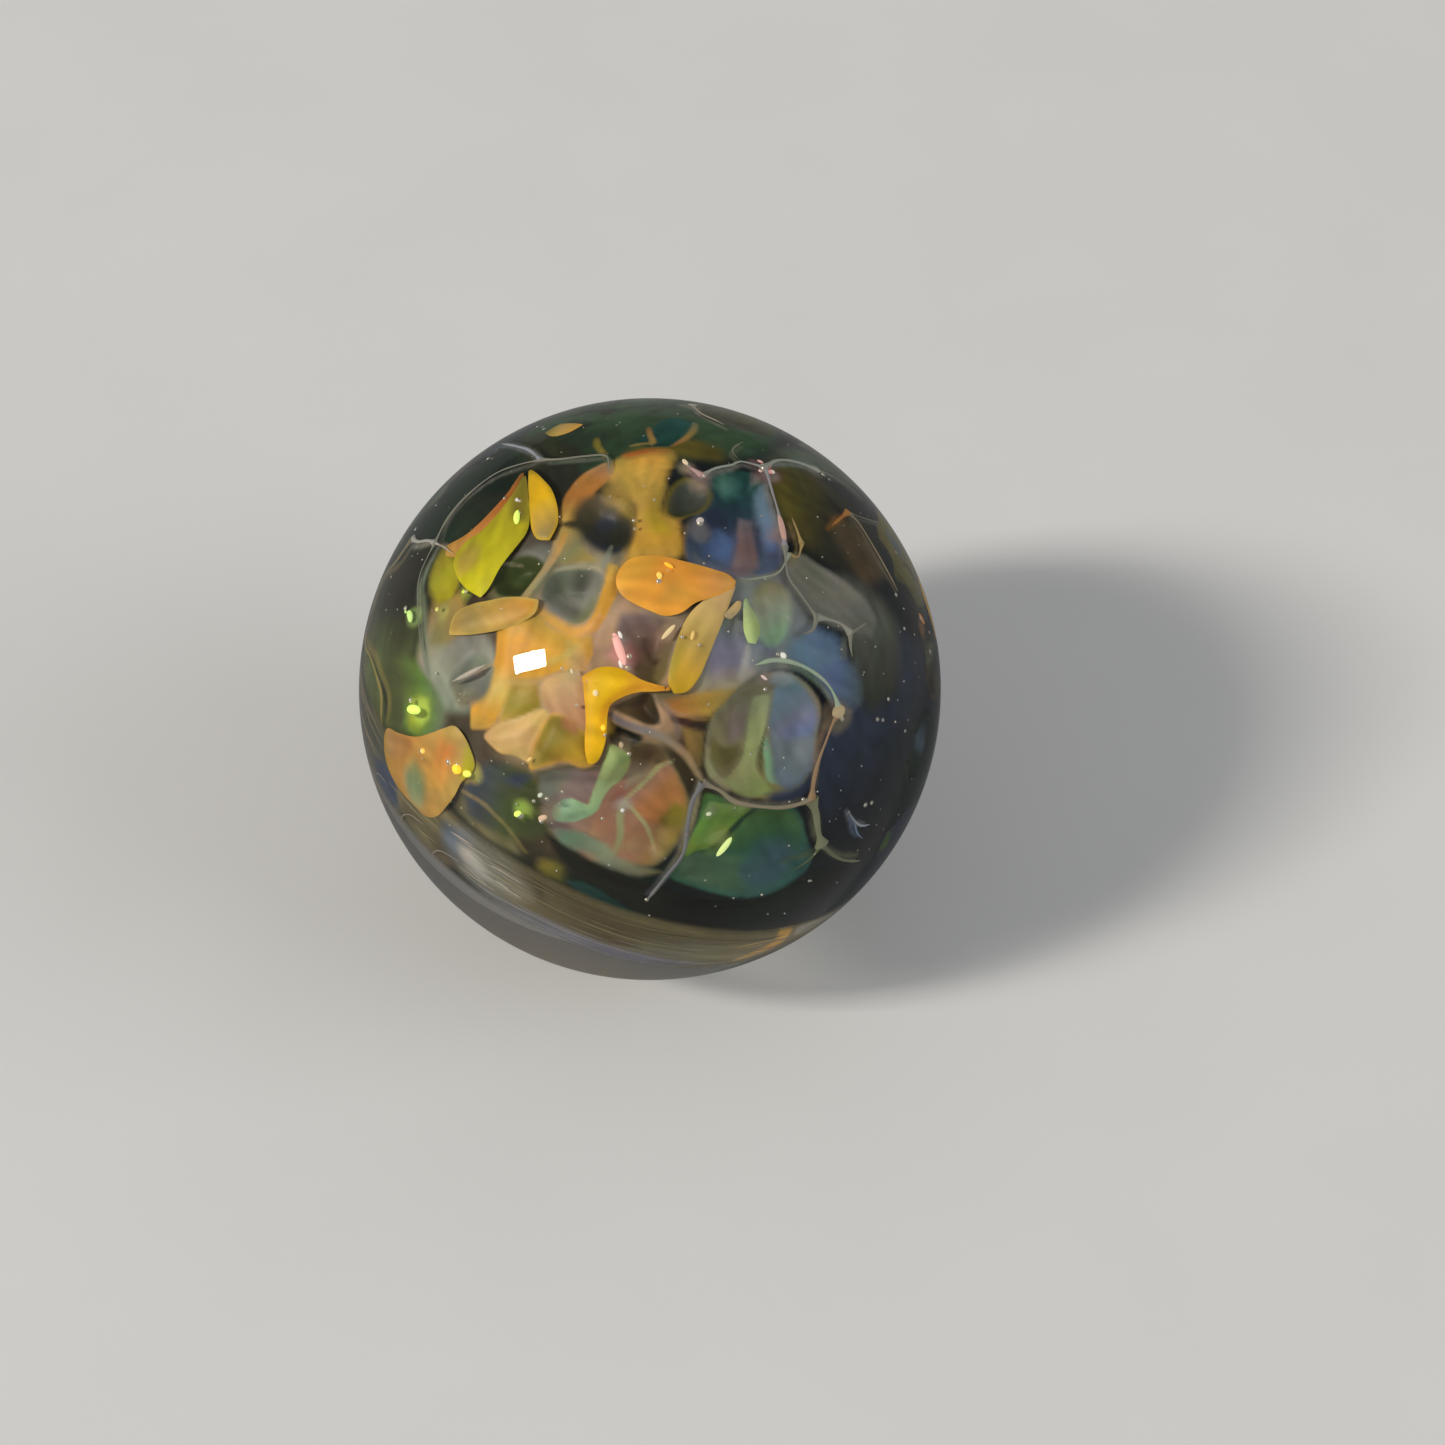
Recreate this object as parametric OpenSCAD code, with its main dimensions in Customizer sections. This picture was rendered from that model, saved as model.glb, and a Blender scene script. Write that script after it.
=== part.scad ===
// Handmade art-glass marble.
// One fused ball of borosilicate glass: clear outside, with coloured glass melted
// into it. No seam or face parts the colours from the clear glass, so it is one solid.
// Millimetres, +Z up as the ball lies on a table, origin at the centre of the ball.

/* [Ball] */
// Diameter of the finished ball
marble_d = 38; // [12:0.5:76]

/* [Quality] */
// Facets around the ball in a preview
facets = 96; // [48:8:192]

/* [Hidden] */
marble_r = marble_d / 2;

// The fused ball, round all over, with no flat
module marble() {
  color("darkgoldenrod")
    sphere(r = marble_r, $fn = facets);
}

marble();
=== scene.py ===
"""Handmade glass marble: a clear ball with a dome of coloured petals and cells melted into it.

From the inside out it has the coloured dome, which is painted in coats point by point, a smoky
sheet and streaks under the dome's edge, petals, pale threads and air bubbles just above the
dome, and the clear glass of the ball. A place in the glass is given by its turn round the
dome's crown and its tilt away from the crown, both in degrees.
"""
import math

import bmesh
import bpy
import numpy as np
from mathutils import Matrix, Vector
from mathutils.geometry import delaunay_2d_cdt


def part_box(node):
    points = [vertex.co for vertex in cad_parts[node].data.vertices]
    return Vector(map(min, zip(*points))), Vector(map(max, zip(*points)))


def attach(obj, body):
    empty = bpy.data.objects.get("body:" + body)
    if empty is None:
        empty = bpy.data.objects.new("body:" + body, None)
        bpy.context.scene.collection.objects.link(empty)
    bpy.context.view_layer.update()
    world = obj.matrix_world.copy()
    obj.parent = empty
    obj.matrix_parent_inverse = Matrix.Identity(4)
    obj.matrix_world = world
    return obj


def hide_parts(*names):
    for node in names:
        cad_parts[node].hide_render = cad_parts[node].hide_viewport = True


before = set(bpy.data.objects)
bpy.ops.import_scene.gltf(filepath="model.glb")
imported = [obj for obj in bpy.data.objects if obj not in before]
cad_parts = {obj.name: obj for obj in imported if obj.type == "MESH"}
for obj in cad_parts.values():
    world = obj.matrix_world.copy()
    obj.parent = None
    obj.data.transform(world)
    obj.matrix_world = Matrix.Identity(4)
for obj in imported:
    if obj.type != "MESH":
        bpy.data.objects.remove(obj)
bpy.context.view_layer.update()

MM = 0.001
DEGREE = math.radians(1)
ball_low, ball_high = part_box("marble")
BALL_R = (ball_high[2] - ball_low[2]) / 2

# How the coloured dome lies in the ball, in degrees: its crown leans to one side, and the
# seen side faces a viewer who looks down on the ball from the front.
CROWN_LEAN = 26
CROWN_HEADING = 23
VIEW_HEIGHT = 48

# How far from the ball's middle things lie, as shares of its radius.
WEB_DEPTH = 0.946
PETAL_DEPTH = 0.942
BUBBLE_DEPTH = WEB_DEPTH - 0.004
WISP_DEPTH = 0.935
VEIL_DEPTH = 0.928
CORE_DEPTH = 0.912

# The dome: the tilt of its rim in degrees, how far its underside lies below the ball's middle
# and how much that changes round it, as shares of the radius, where the underside lies lowest,
# how far it is drawn in at its middle, and the rounding of the rim in millimetres.
RIM_TILT = 105
RIM_DROP = 0.262
RIM_SWING = 0.02
RIM_SWING_TURN = 320
RIM_HOLLOW = 0.6
RIM_ROUNDING = 1.2

# Unevenness of the dome: how far its pattern wanders, as a share of the radius, and how far its
# surface swells, in millimetres.
WANDER = 0.006
SWELL = 0.12

# Outlines of patches: the turn in degrees from which a corner is a tip, and the points a side.
TIP_TURN = 62
OUTLINE_STEPS = 10

# Streaks in a patch: length and width in degrees, and how much they change its colour.
STREAK_LENGTH = 16
STREAK_WIDTH = 3.2
STREAK_TONE = 0.07

# How far inside a coat of the dome a point lies, in widths of the coat's soft edge: the least that
# is noted, and what is taken off on the underside, where no coat shows.
FAR_OUTSIDE = -8.0
HIDDEN = 12

# Petals: thickness, and how far the edges curl in, in millimetres, then in degrees the width
# of their rounded edge, the spacing of their points and the angle that stays a sharp edge.
PETAL_THICKNESS = 0.12
PETAL_CURL = 0.14
PETAL_ROUNDING = 1.6
PETAL_SPACING = 0.7
PETAL_EDGE = 60

# The smoky sheet: its first and last tilt in degrees, half its thickness in millimetres, how
# far its top is tucked in, as a share of the radius, and its points round and down.
VEIL_TOP = 102
VEIL_FOOT = 121
VEIL_HALF = 0.12
VEIL_TUCK = 0.012
VEIL_AROUND = 540
VEIL_DOWN = 26

# Threads and streaks: how much they swell where they meet and over how many degrees, and how
# many degrees of a free end are drawn out thin.
JUNCTION_SWELL = 1.7
JUNCTION_REACH = 1.3
FREE_END = 2.5

# Bubbles: their true share of the width they seem to have through the curved glass,
# how many of the finest there are, and the range of their depths and widths.
TRUE_WIDTH = 0.7
PINS = 420
PIN_DEPTHS = (0.92, 0.985)
PIN_WIDTHS = (0.06, 0.16)

# Fineness of the meshes, and how far the ball is out of round, in millimetres.
DOME_DIVISIONS = 128
BALL_DIVISIONS = 96
THREAD_SIDES = 10
OUT_OF_ROUND = 0.03


def shade(red, green, blue):
    """A colour given as it looks, turned into the even scale that light adds up in."""
    seen = (red, green, blue)
    return np.array([c / 12.92 if c <= 0.04045 else ((c + 0.055) / 1.055) ** 2.4 for c in seen])


AMBER = shade(0.87, 0.63, 0.22)
GOLD = shade(0.88, 0.68, 0.06)
ORANGE = shade(0.93, 0.62, 0.22)
RUST = shade(0.70, 0.46, 0.20)
EMBER = shade(0.74, 0.38, 0.12)
CLAY = shade(0.66, 0.44, 0.28)
PEACH = shade(0.84, 0.70, 0.44)
SALMON = shade(0.76, 0.58, 0.42)
HONEY = shade(0.74, 0.60, 0.28)
STRAW = shade(0.80, 0.68, 0.36)
LIME = shade(0.70, 0.66, 0.04)
OLIVE = shade(0.56, 0.50, 0.14)
KHAKI = shade(0.50, 0.47, 0.32)
MOSS = shade(0.25, 0.28, 0.14)
GRASS = shade(0.44, 0.60, 0.24)
CELERY = shade(0.68, 0.69, 0.46)
PEA = shade(0.66, 0.74, 0.46)
MINT = shade(0.54, 0.70, 0.54)
SAGE = shade(0.52, 0.56, 0.46)
TEAL = shade(0.28, 0.50, 0.46)
LAGOON = shade(0.10, 0.32, 0.27)
FIR = shade(0.20, 0.36, 0.24)
PINE = shade(0.10, 0.18, 0.12)
SLATE = shade(0.42, 0.50, 0.60)
DENIM = shade(0.32, 0.40, 0.56)
STEEL = shade(0.38, 0.41, 0.44)
NAVY = shade(0.20, 0.24, 0.32)
MIDNIGHT = shade(0.09, 0.11, 0.13)
SMOKE = shade(0.42, 0.43, 0.37)
FOG = shade(0.54, 0.53, 0.47)
MAUVE = shade(0.52, 0.44, 0.42)
PLUM = shade(0.52, 0.34, 0.28)
UMBER = shade(0.36, 0.30, 0.20)
SOOT = shade(0.15, 0.15, 0.10)
INK = shade(0.06, 0.07, 0.05)
MILK = shade(0.76, 0.74, 0.70)
LILAC = shade(0.50, 0.49, 0.54)
SAND = shade(0.64, 0.57, 0.44)
ROSE = shade(0.80, 0.52, 0.48)
GLOW = shade(0.84, 0.95, 0.42)
SUN = shade(0.98, 0.80, 0.20)
DUSK = shade(0.56, 0.50, 0.47)
COCOA = shade(0.43, 0.33, 0.28)
BRACKEN = shade(0.46, 0.42, 0.22)
BARK = shade(0.52, 0.42, 0.22)
# HAZE is partly grey glass and partly a painted haze of the room's reflection.
HAZE = shade(0.53, 0.54, 0.50)
AQUA = shade(0.50, 0.62, 0.66)


def mid(first, second, share=0.5):
    """A colour between two others."""
    return first * (1 - share) + second * share


# ---------------------------------------------------------------- directions in the ball

def leaning(lean, heading):
    """The direction that leans from straight up towards a heading, in degrees."""
    flat = math.sin(lean * DEGREE)
    across, along = math.cos(heading * DEGREE), math.sin(heading * DEGREE)
    return Vector((flat * across, flat * along, math.cos(lean * DEGREE)))


CROWN = leaning(CROWN_LEAN, CROWN_HEADING)
SEEN_FROM = leaning(90 - VIEW_HEIGHT, -90)
NEAR = (SEEN_FROM - CROWN * SEEN_FROM.dot(CROWN)).normalized()
ASIDE = CROWN.cross(NEAR)
DOME = np.array([NEAR, ASIDE, CROWN])


def facing(turn, tilt):
    """A direction by its turn round the dome's crown and its tilt away from the crown, in degrees."""
    turn = np.asarray(turn) * DEGREE
    tilt = np.asarray(tilt) * DEGREE
    parts = np.stack([np.sin(tilt) * np.cos(turn), np.sin(tilt) * np.sin(turn), np.cos(tilt)], -1)
    return parts @ DOME


def turn_and_tilt(points):
    """The opposite of facing, for many directions."""
    parts = points @ DOME.T
    turn = np.degrees(np.arctan2(parts[:, 1], parts[:, 0])) % 360
    return turn, np.degrees(np.arccos(np.clip(parts[:, 2], -1, 1)))


def stops_of(points):
    """The turn and tilt of each of many directions, as a list of pairs."""
    return list(zip(*turn_and_tilt(points)))


def unit(vectors):
    """Directions made one long."""
    return vectors / np.linalg.norm(vectors, axis=-1, keepdims=True)


def sideways(middle):
    """Two directions square to a middle one and to each other, to lay out a patch by."""
    across = unit(np.cross(np.array(CROWN) + 0.01, middle))
    return across, np.cross(middle, across)


def ease(low, high, values):
    """0 at low and beyond, 1 at high and beyond, and a smooth step between."""
    share = np.clip((values - low) / (high - low), 0, 1)
    return share * share * (3 - 2 * share)


def ripple(points, size, seed, waves=10):
    """An uneven smooth value of about -1 to 1 over many points, the same each run."""
    chooser = np.random.default_rng(seed)
    total = np.zeros(len(points))
    for _ in range(waves):
        way = unit(chooser.normal(size=3))
        pitch = 2 * math.pi / size * chooser.uniform(0.6, 1.5)
        total += np.sin(points @ way * pitch + chooser.uniform(0, 6.3))
    return total / math.sqrt(waves / 2)


def smooth_path(stops, step):
    """Directions about one step of degrees apart, along a smooth line through turn and tilt stops."""
    ways = facing(*np.array(stops, float).T)
    ends = np.vstack([2 * ways[0] - ways[1], ways, 2 * ways[-1] - ways[-2]])
    path = []
    for a, b, c, d in zip(ends, ends[1:], ends[2:], ends[3:]):
        squared = 2 * a - 5 * b + 4 * c - d
        cubed = 3 * b - a - 3 * c + d
        count = max(2, int(np.degrees(np.linalg.norm(c - b)) / step))
        for t in np.arange(count) / count:
            path.append(0.5 * (2 * b + (c - a) * t + squared * t * t + cubed * t ** 3))
    path.append(ways[-1])
    return unit(np.array(path))


# ---------------------------------------------------------------- fields of colour

class Field:
    """A patch of the dome by its corners, with its own colours.

    It rises or sinks by rise millimetres, over ramp degrees from its edge. soft is how
    blurred the edge is and rim_width how wide the rim, in degrees, and rounds how often
    the outline is smoothed.
    """

    def __init__(self, corners, shades, rise=0.0, ramp=3.0, soft=0.5, rim=None, rim_width=1.2, rounds=2):
        ways = facing(*np.array(corners, float).T)
        self.middle = unit(ways.sum(axis=0))
        self.across, self.along = sideways(self.middle)
        self.shades, self.rise, self.ramp, self.soft = shades, rise, ramp, soft
        self.rim, self.rim_width = rim, rim_width
        # A number of its own keeps each patch's streaks unlike its neighbours'.
        self.grain = sum(turn + tilt for turn, tilt in corners) % 6.28
        flat = self.flatten(ways)
        self.start = flat[0]
        self.far = flat[np.argmax(np.hypot(*(flat - flat[0]).T))]
        self.line = self.outline(flat, rounds)
        # Directions further from the middle than this lie clear of the patch and its blurred edge.
        self.reach = np.hypot(*self.line.T).max() + 4

    def flatten(self, points):
        """Degrees across and along from the middle of the patch."""
        flat = np.stack([points @ self.across, points @ self.along], 1)
        length = np.maximum(np.hypot(*flat.T), 1e-9)
        return flat * (np.degrees(np.arctan2(length, points @ self.middle)) / length)[:, None]

    def unflatten(self, flat):
        """Directions of points that are given in degrees from the middle."""
        angle = np.hypot(*flat.T)
        way = flat / np.maximum(angle, 1e-9)[:, None]
        aside = way[:, :1] * self.across + way[:, 1:] * self.along
        return np.cos(angle * DEGREE)[:, None] * self.middle + np.sin(angle * DEGREE)[:, None] * aside

    @staticmethod
    def outline(corners, rounds):
        """The closed line through the corners, curved all along but for tips where it turns sharply."""
        onward = np.roll(corners, -1, axis=0) - corners
        length = np.hypot(*onward.T)[:, None]
        leaving = onward / length
        coming = np.roll(leaving, 1, axis=0)
        tip = (leaving * coming).sum(axis=1) < math.cos(TIP_TURN * DEGREE)
        bend = unit(leaving + coming + 1e-9)
        leaving[~tip], coming[~tip] = bend[~tip], bend[~tip]
        arriving = np.roll(coming, -1, axis=0)
        line = []
        for share in np.arange(OUTLINE_STEPS) / OUTLINE_STEPS:
            there = share * share * (3 - 2 * share)
            pull = share * (1 - share) * length * ((1 - share) * leaving - share * arriving)
            line.append(corners + onward * there + pull)
        line = np.stack(line, 1).reshape(-1, 2)
        for _ in range(rounds):
            line = (np.roll(line, 1, axis=0) + 2 * line + np.roll(line, -1, axis=0)) / 4
        return line

    def inside(self, points):
        """How many degrees inside the outline each direction lies, negative outside."""
        depth = np.full(len(points), -99.0)
        close = np.nonzero(points @ self.middle > math.cos(min(self.reach, 175) * DEGREE))[0]
        if len(close):
            depth[close] = inside_line(self.flatten(points[close]), self.line)
        return depth

    def colours(self, points, depth):
        """The patch's own colour at each direction: from its first corner to its far one, and its rim."""
        way = self.far - self.start
        flat = self.flatten(points)
        share = np.clip((flat - self.start) @ way / (way @ way), 0, 1)
        places = np.linspace(0, 1, len(self.shades))
        result = np.stack([np.interp(share, places, [s[c] for s in self.shades]) for c in range(3)], 1)
        if self.rim is not None:
            edge = 1 - ease(0, self.rim_width, depth)[:, None]
            result = result * (1 - edge) + self.rim * edge
        length = np.hypot(*way)
        across = flat @ np.array([-way[1], way[0]]) / length / STREAK_WIDTH
        run = share * length / STREAK_LENGTH
        drawn = ripple(np.stack([across, run, run * 0 + self.grain], 1), 1.0, 7)
        return result * (1 + STREAK_TONE * drawn[:, None])


def inside_line(points, line):
    """How far inside a closed flat line each flat point lies, negative outside."""
    nearest = np.full(len(points), 1e9)
    within = np.zeros(len(points), bool)
    x, y = points.T
    for start, end in zip(line, np.roll(line, -1, axis=0)):
        side = end - start
        share = np.clip((points - start) @ side / max(side @ side, 1e-12), 0, 1)
        nearest = np.minimum(nearest, np.hypot(*(points - start - share[:, None] * side).T))
        if start[1] != end[1]:
            spans = (start[1] > y) != (end[1] > y)
            within ^= spans & (x < side[0] * (y - start[1]) / side[1] + start[0])
    return np.where(within, nearest, -nearest)


def ring(turn, tilt, size, corners=10):
    """Corners of a round patch with a radius in degrees."""
    middle = facing(turn, tilt)
    across, along = sideways(middle)
    points = []
    for step in range(corners):
        angle = 2 * math.pi * step / corners
        points.append(middle + (across * math.cos(angle) * size + along * math.sin(angle) * size) * DEGREE)
    return stops_of(unit(np.array(points)))


def leaf(turn, tilt, length, width, way, bend):
    """Corners of a bent leaf with one blunt and one fine end."""
    middle = facing(turn, tilt)
    across, along = sideways(middle)
    on = across * math.cos(way * DEGREE) + along * math.sin(way * DEGREE)
    aside = np.cross(middle, on)
    points = []
    for side in (1, -1):
        for share in (0.0, 0.14, 0.36, 0.62, 0.86, 1.0)[::side][:-1]:
            half = side * width / 2 * math.sin(math.pi * share ** 0.75)
            out = (half + bend * length * math.sin(math.pi * share)) * DEGREE
            points.append(middle + on * (share - 0.5) * length * DEGREE + aside * out)
    return stops_of(unit(np.array(points)))


def ribbon(stops, width):
    """Corners of a band of one width in degrees along a line of stops, narrower at its ends."""
    path = smooth_path(stops, 2.0)
    onward = np.gradient(path, axis=0)
    side = unit(np.cross(path, onward)) * width / 2 * DEGREE
    share = np.linspace(0, math.pi, len(path))
    side *= (0.35 + 0.65 * np.sqrt(np.sin(share)))[:, None]
    return stops_of(unit(np.vstack([path - side, (path + side)[::-1]])))


def band(stops, width, shades, **edge):
    """A drawn-out band of glass as a field of its own."""
    return Field(ribbon(stops, width), shades, **edge)


def paint(points, colour, height, fields):
    """Lays fields over the colours and heights of many directions, one after another."""
    for field in fields:
        depth = field.inside(points)
        near = np.nonzero(depth > -field.soft)[0]
        if not len(near):
            continue
        cover = ease(-field.soft, field.soft, depth[near])[:, None]
        colour[near] = colour[near] * (1 - cover) + field.colours(points[near], depth[near]) * cover
        height[near] += field.rise * ease(-field.soft, field.ramp, depth[near])


def layer(points, height, fields):
    """Lays fields as a coat of their own: each direction's colour, and how far inside it lies.

    That last number counts in widths of the soft edge. The heights change as in paint.
    """
    colour = np.zeros((len(points), 3))
    inside = np.full(len(points), FAR_OUTSIDE)
    for field in fields:
        depth = field.inside(points)
        share = depth / field.soft
        near = np.nonzero(share > FAR_OUTSIDE)[0]
        cover = ease(-1, 1, share[near])
        closer = ease(-1, 1, share[near] - inside[near])
        weight = (cover + (1 - cover) * (1 - ease(-1.5, -0.5, inside[near])) * closer)[:, None]
        colour[near] = colour[near] * (1 - weight) + field.colours(points[near], depth[near]) * weight
        inside[near] = np.maximum(inside[near], share[near])
        height += field.rise * ease(-field.soft, field.ramp, depth)
    return np.hstack([colour, inside[:, None]])


# ---------------------------------------------------------------- the pattern in the glass

# Soft glass behind the cells, laid over one another in this order.
GROUND = [
    Field([(280, 30), (295, 60), (312, 85), (335, 100), (5, 95), (20, 70), (25, 50), (345, 30)],
          (SOOT, UMBER * 0.5, UMBER * 0.6), soft=6),
    Field([(318, 42), (325, 60), (335, 80), (350, 84), (5, 66), (12, 56), (12, 46), (350, 40), (335, 38)],
          (mid(SAND, FOG), mid(SAND, SALMON), mid(UMBER, SAND)), soft=4),
    Field([(300, 40), (268, 54), (240, 50), (215, 40), (185, 34), (200, 6), (262, 6), (290, 16)],
          (PINE * 1.5, mid(MOSS, FIR), FIR * 0.95), soft=3),
    Field([(292, 46), (268, 52), (262, 48), (276, 38), (289, 33)], (SOOT, MOSS * 0.7), soft=2),
    Field([(285, 45), (289, 37), (297, 35), (302, 41), (303, 44), (298, 46)],
          (SOOT * 0.8, SOOT), soft=1.2),
    Field([(286, 28), (291, 17), (290, 9), (262, 9), (265, 16)], (OLIVE * 0.6, OLIVE * 0.4), soft=2),
    Field([(160, 30), (176, 12), (190, 4), (150, 3), (138, 14), (142, 28)],
          (mid(SAGE, FIR) * 0.7, SAGE * 0.4), soft=3),
    Field([(40, 6), (170, 7), (138, 12), (112, 26), (92, 30), (70, 27), (56, 20), (44, 17)],
          (OLIVE * 0.5, SOOT * 1.4, SOOT), soft=3),
    Field([(92, 15), (106, 22), (92, 33), (74, 31), (78, 20)], (UMBER * 0.7, UMBER), soft=2),
    Field([(292, 50), (283, 60), (290, 70), (300, 62)], (SOOT, PINE), soft=1.5),
    Field([(291, 70), (281, 84), (286, 99), (303, 106), (318, 99), (314, 84), (303, 73)],
          (SOOT * 0.7, SOOT, MOSS * 1.6, MOSS * 1.3), soft=1.5),
    Field([(336, 93), (341, 91), (348, 96), (352, 101), (344, 103), (336, 101)],
          (mid(KHAKI, MOSS), KHAKI * 0.8), soft=1.5),
    Field([(303, 73), (312, 70), (320, 68), (330, 70), (331, 79), (322, 88), (313, 84)],
          (HONEY * 0.6, FOG, SAGE), soft=1.5),
    Field([(312, 49), (316, 47), (322, 51), (323, 58), (318, 62), (312, 62)],
          (SMOKE * 0.8, KHAKI * 0.7), soft=1.2),
    Field([(330, 38), (338, 39), (345, 43), (348, 46), (349, 52), (343, 55), (340, 48)],
          (mid(SMOKE, SAND), mid(SAND, SALMON, 0.3), mid(SAND, SALMON)), soft=1.5),
    Field([(352, 54), (2, 54), (8, 53), (16, 51), (12, 55), (2, 57)], (UMBER, KHAKI), soft=1.2),
    Field([(336, 94), (342, 84), (350, 84), (355, 92), (349, 99), (339, 101)],
          (NAVY, MOSS, MOSS * 1.4), soft=1.5),
    # grey glass, partly a painted haze of the room's reflection on the ball
    Field([(8, 28), (20, 26), (32, 26), (38, 31), (42, 36), (40, 42), (32, 44), (24, 47), (20, 51),
           (10, 53), (6, 47), (9, 38)],
          (HAZE * 0.9, mid(HAZE, SLATE, 0.4), mid(FOG, SAND)), soft=2),
    Field([(48, 52), (43, 62), (43, 68), (48, 76), (56, 84), (74, 86), (90, 70), (94, 52), (80, 42),
           (64, 44)],
          (NAVY * 0.9, MIDNIGHT * 1.2, INK), soft=2.5),
    Field([(60, 26), (74, 30), (80, 40), (74, 52), (60, 54), (54, 46), (58, 38)],
          (SMOKE * 0.7, SMOKE * 0.5, SOOT), soft=3),
]

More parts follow.
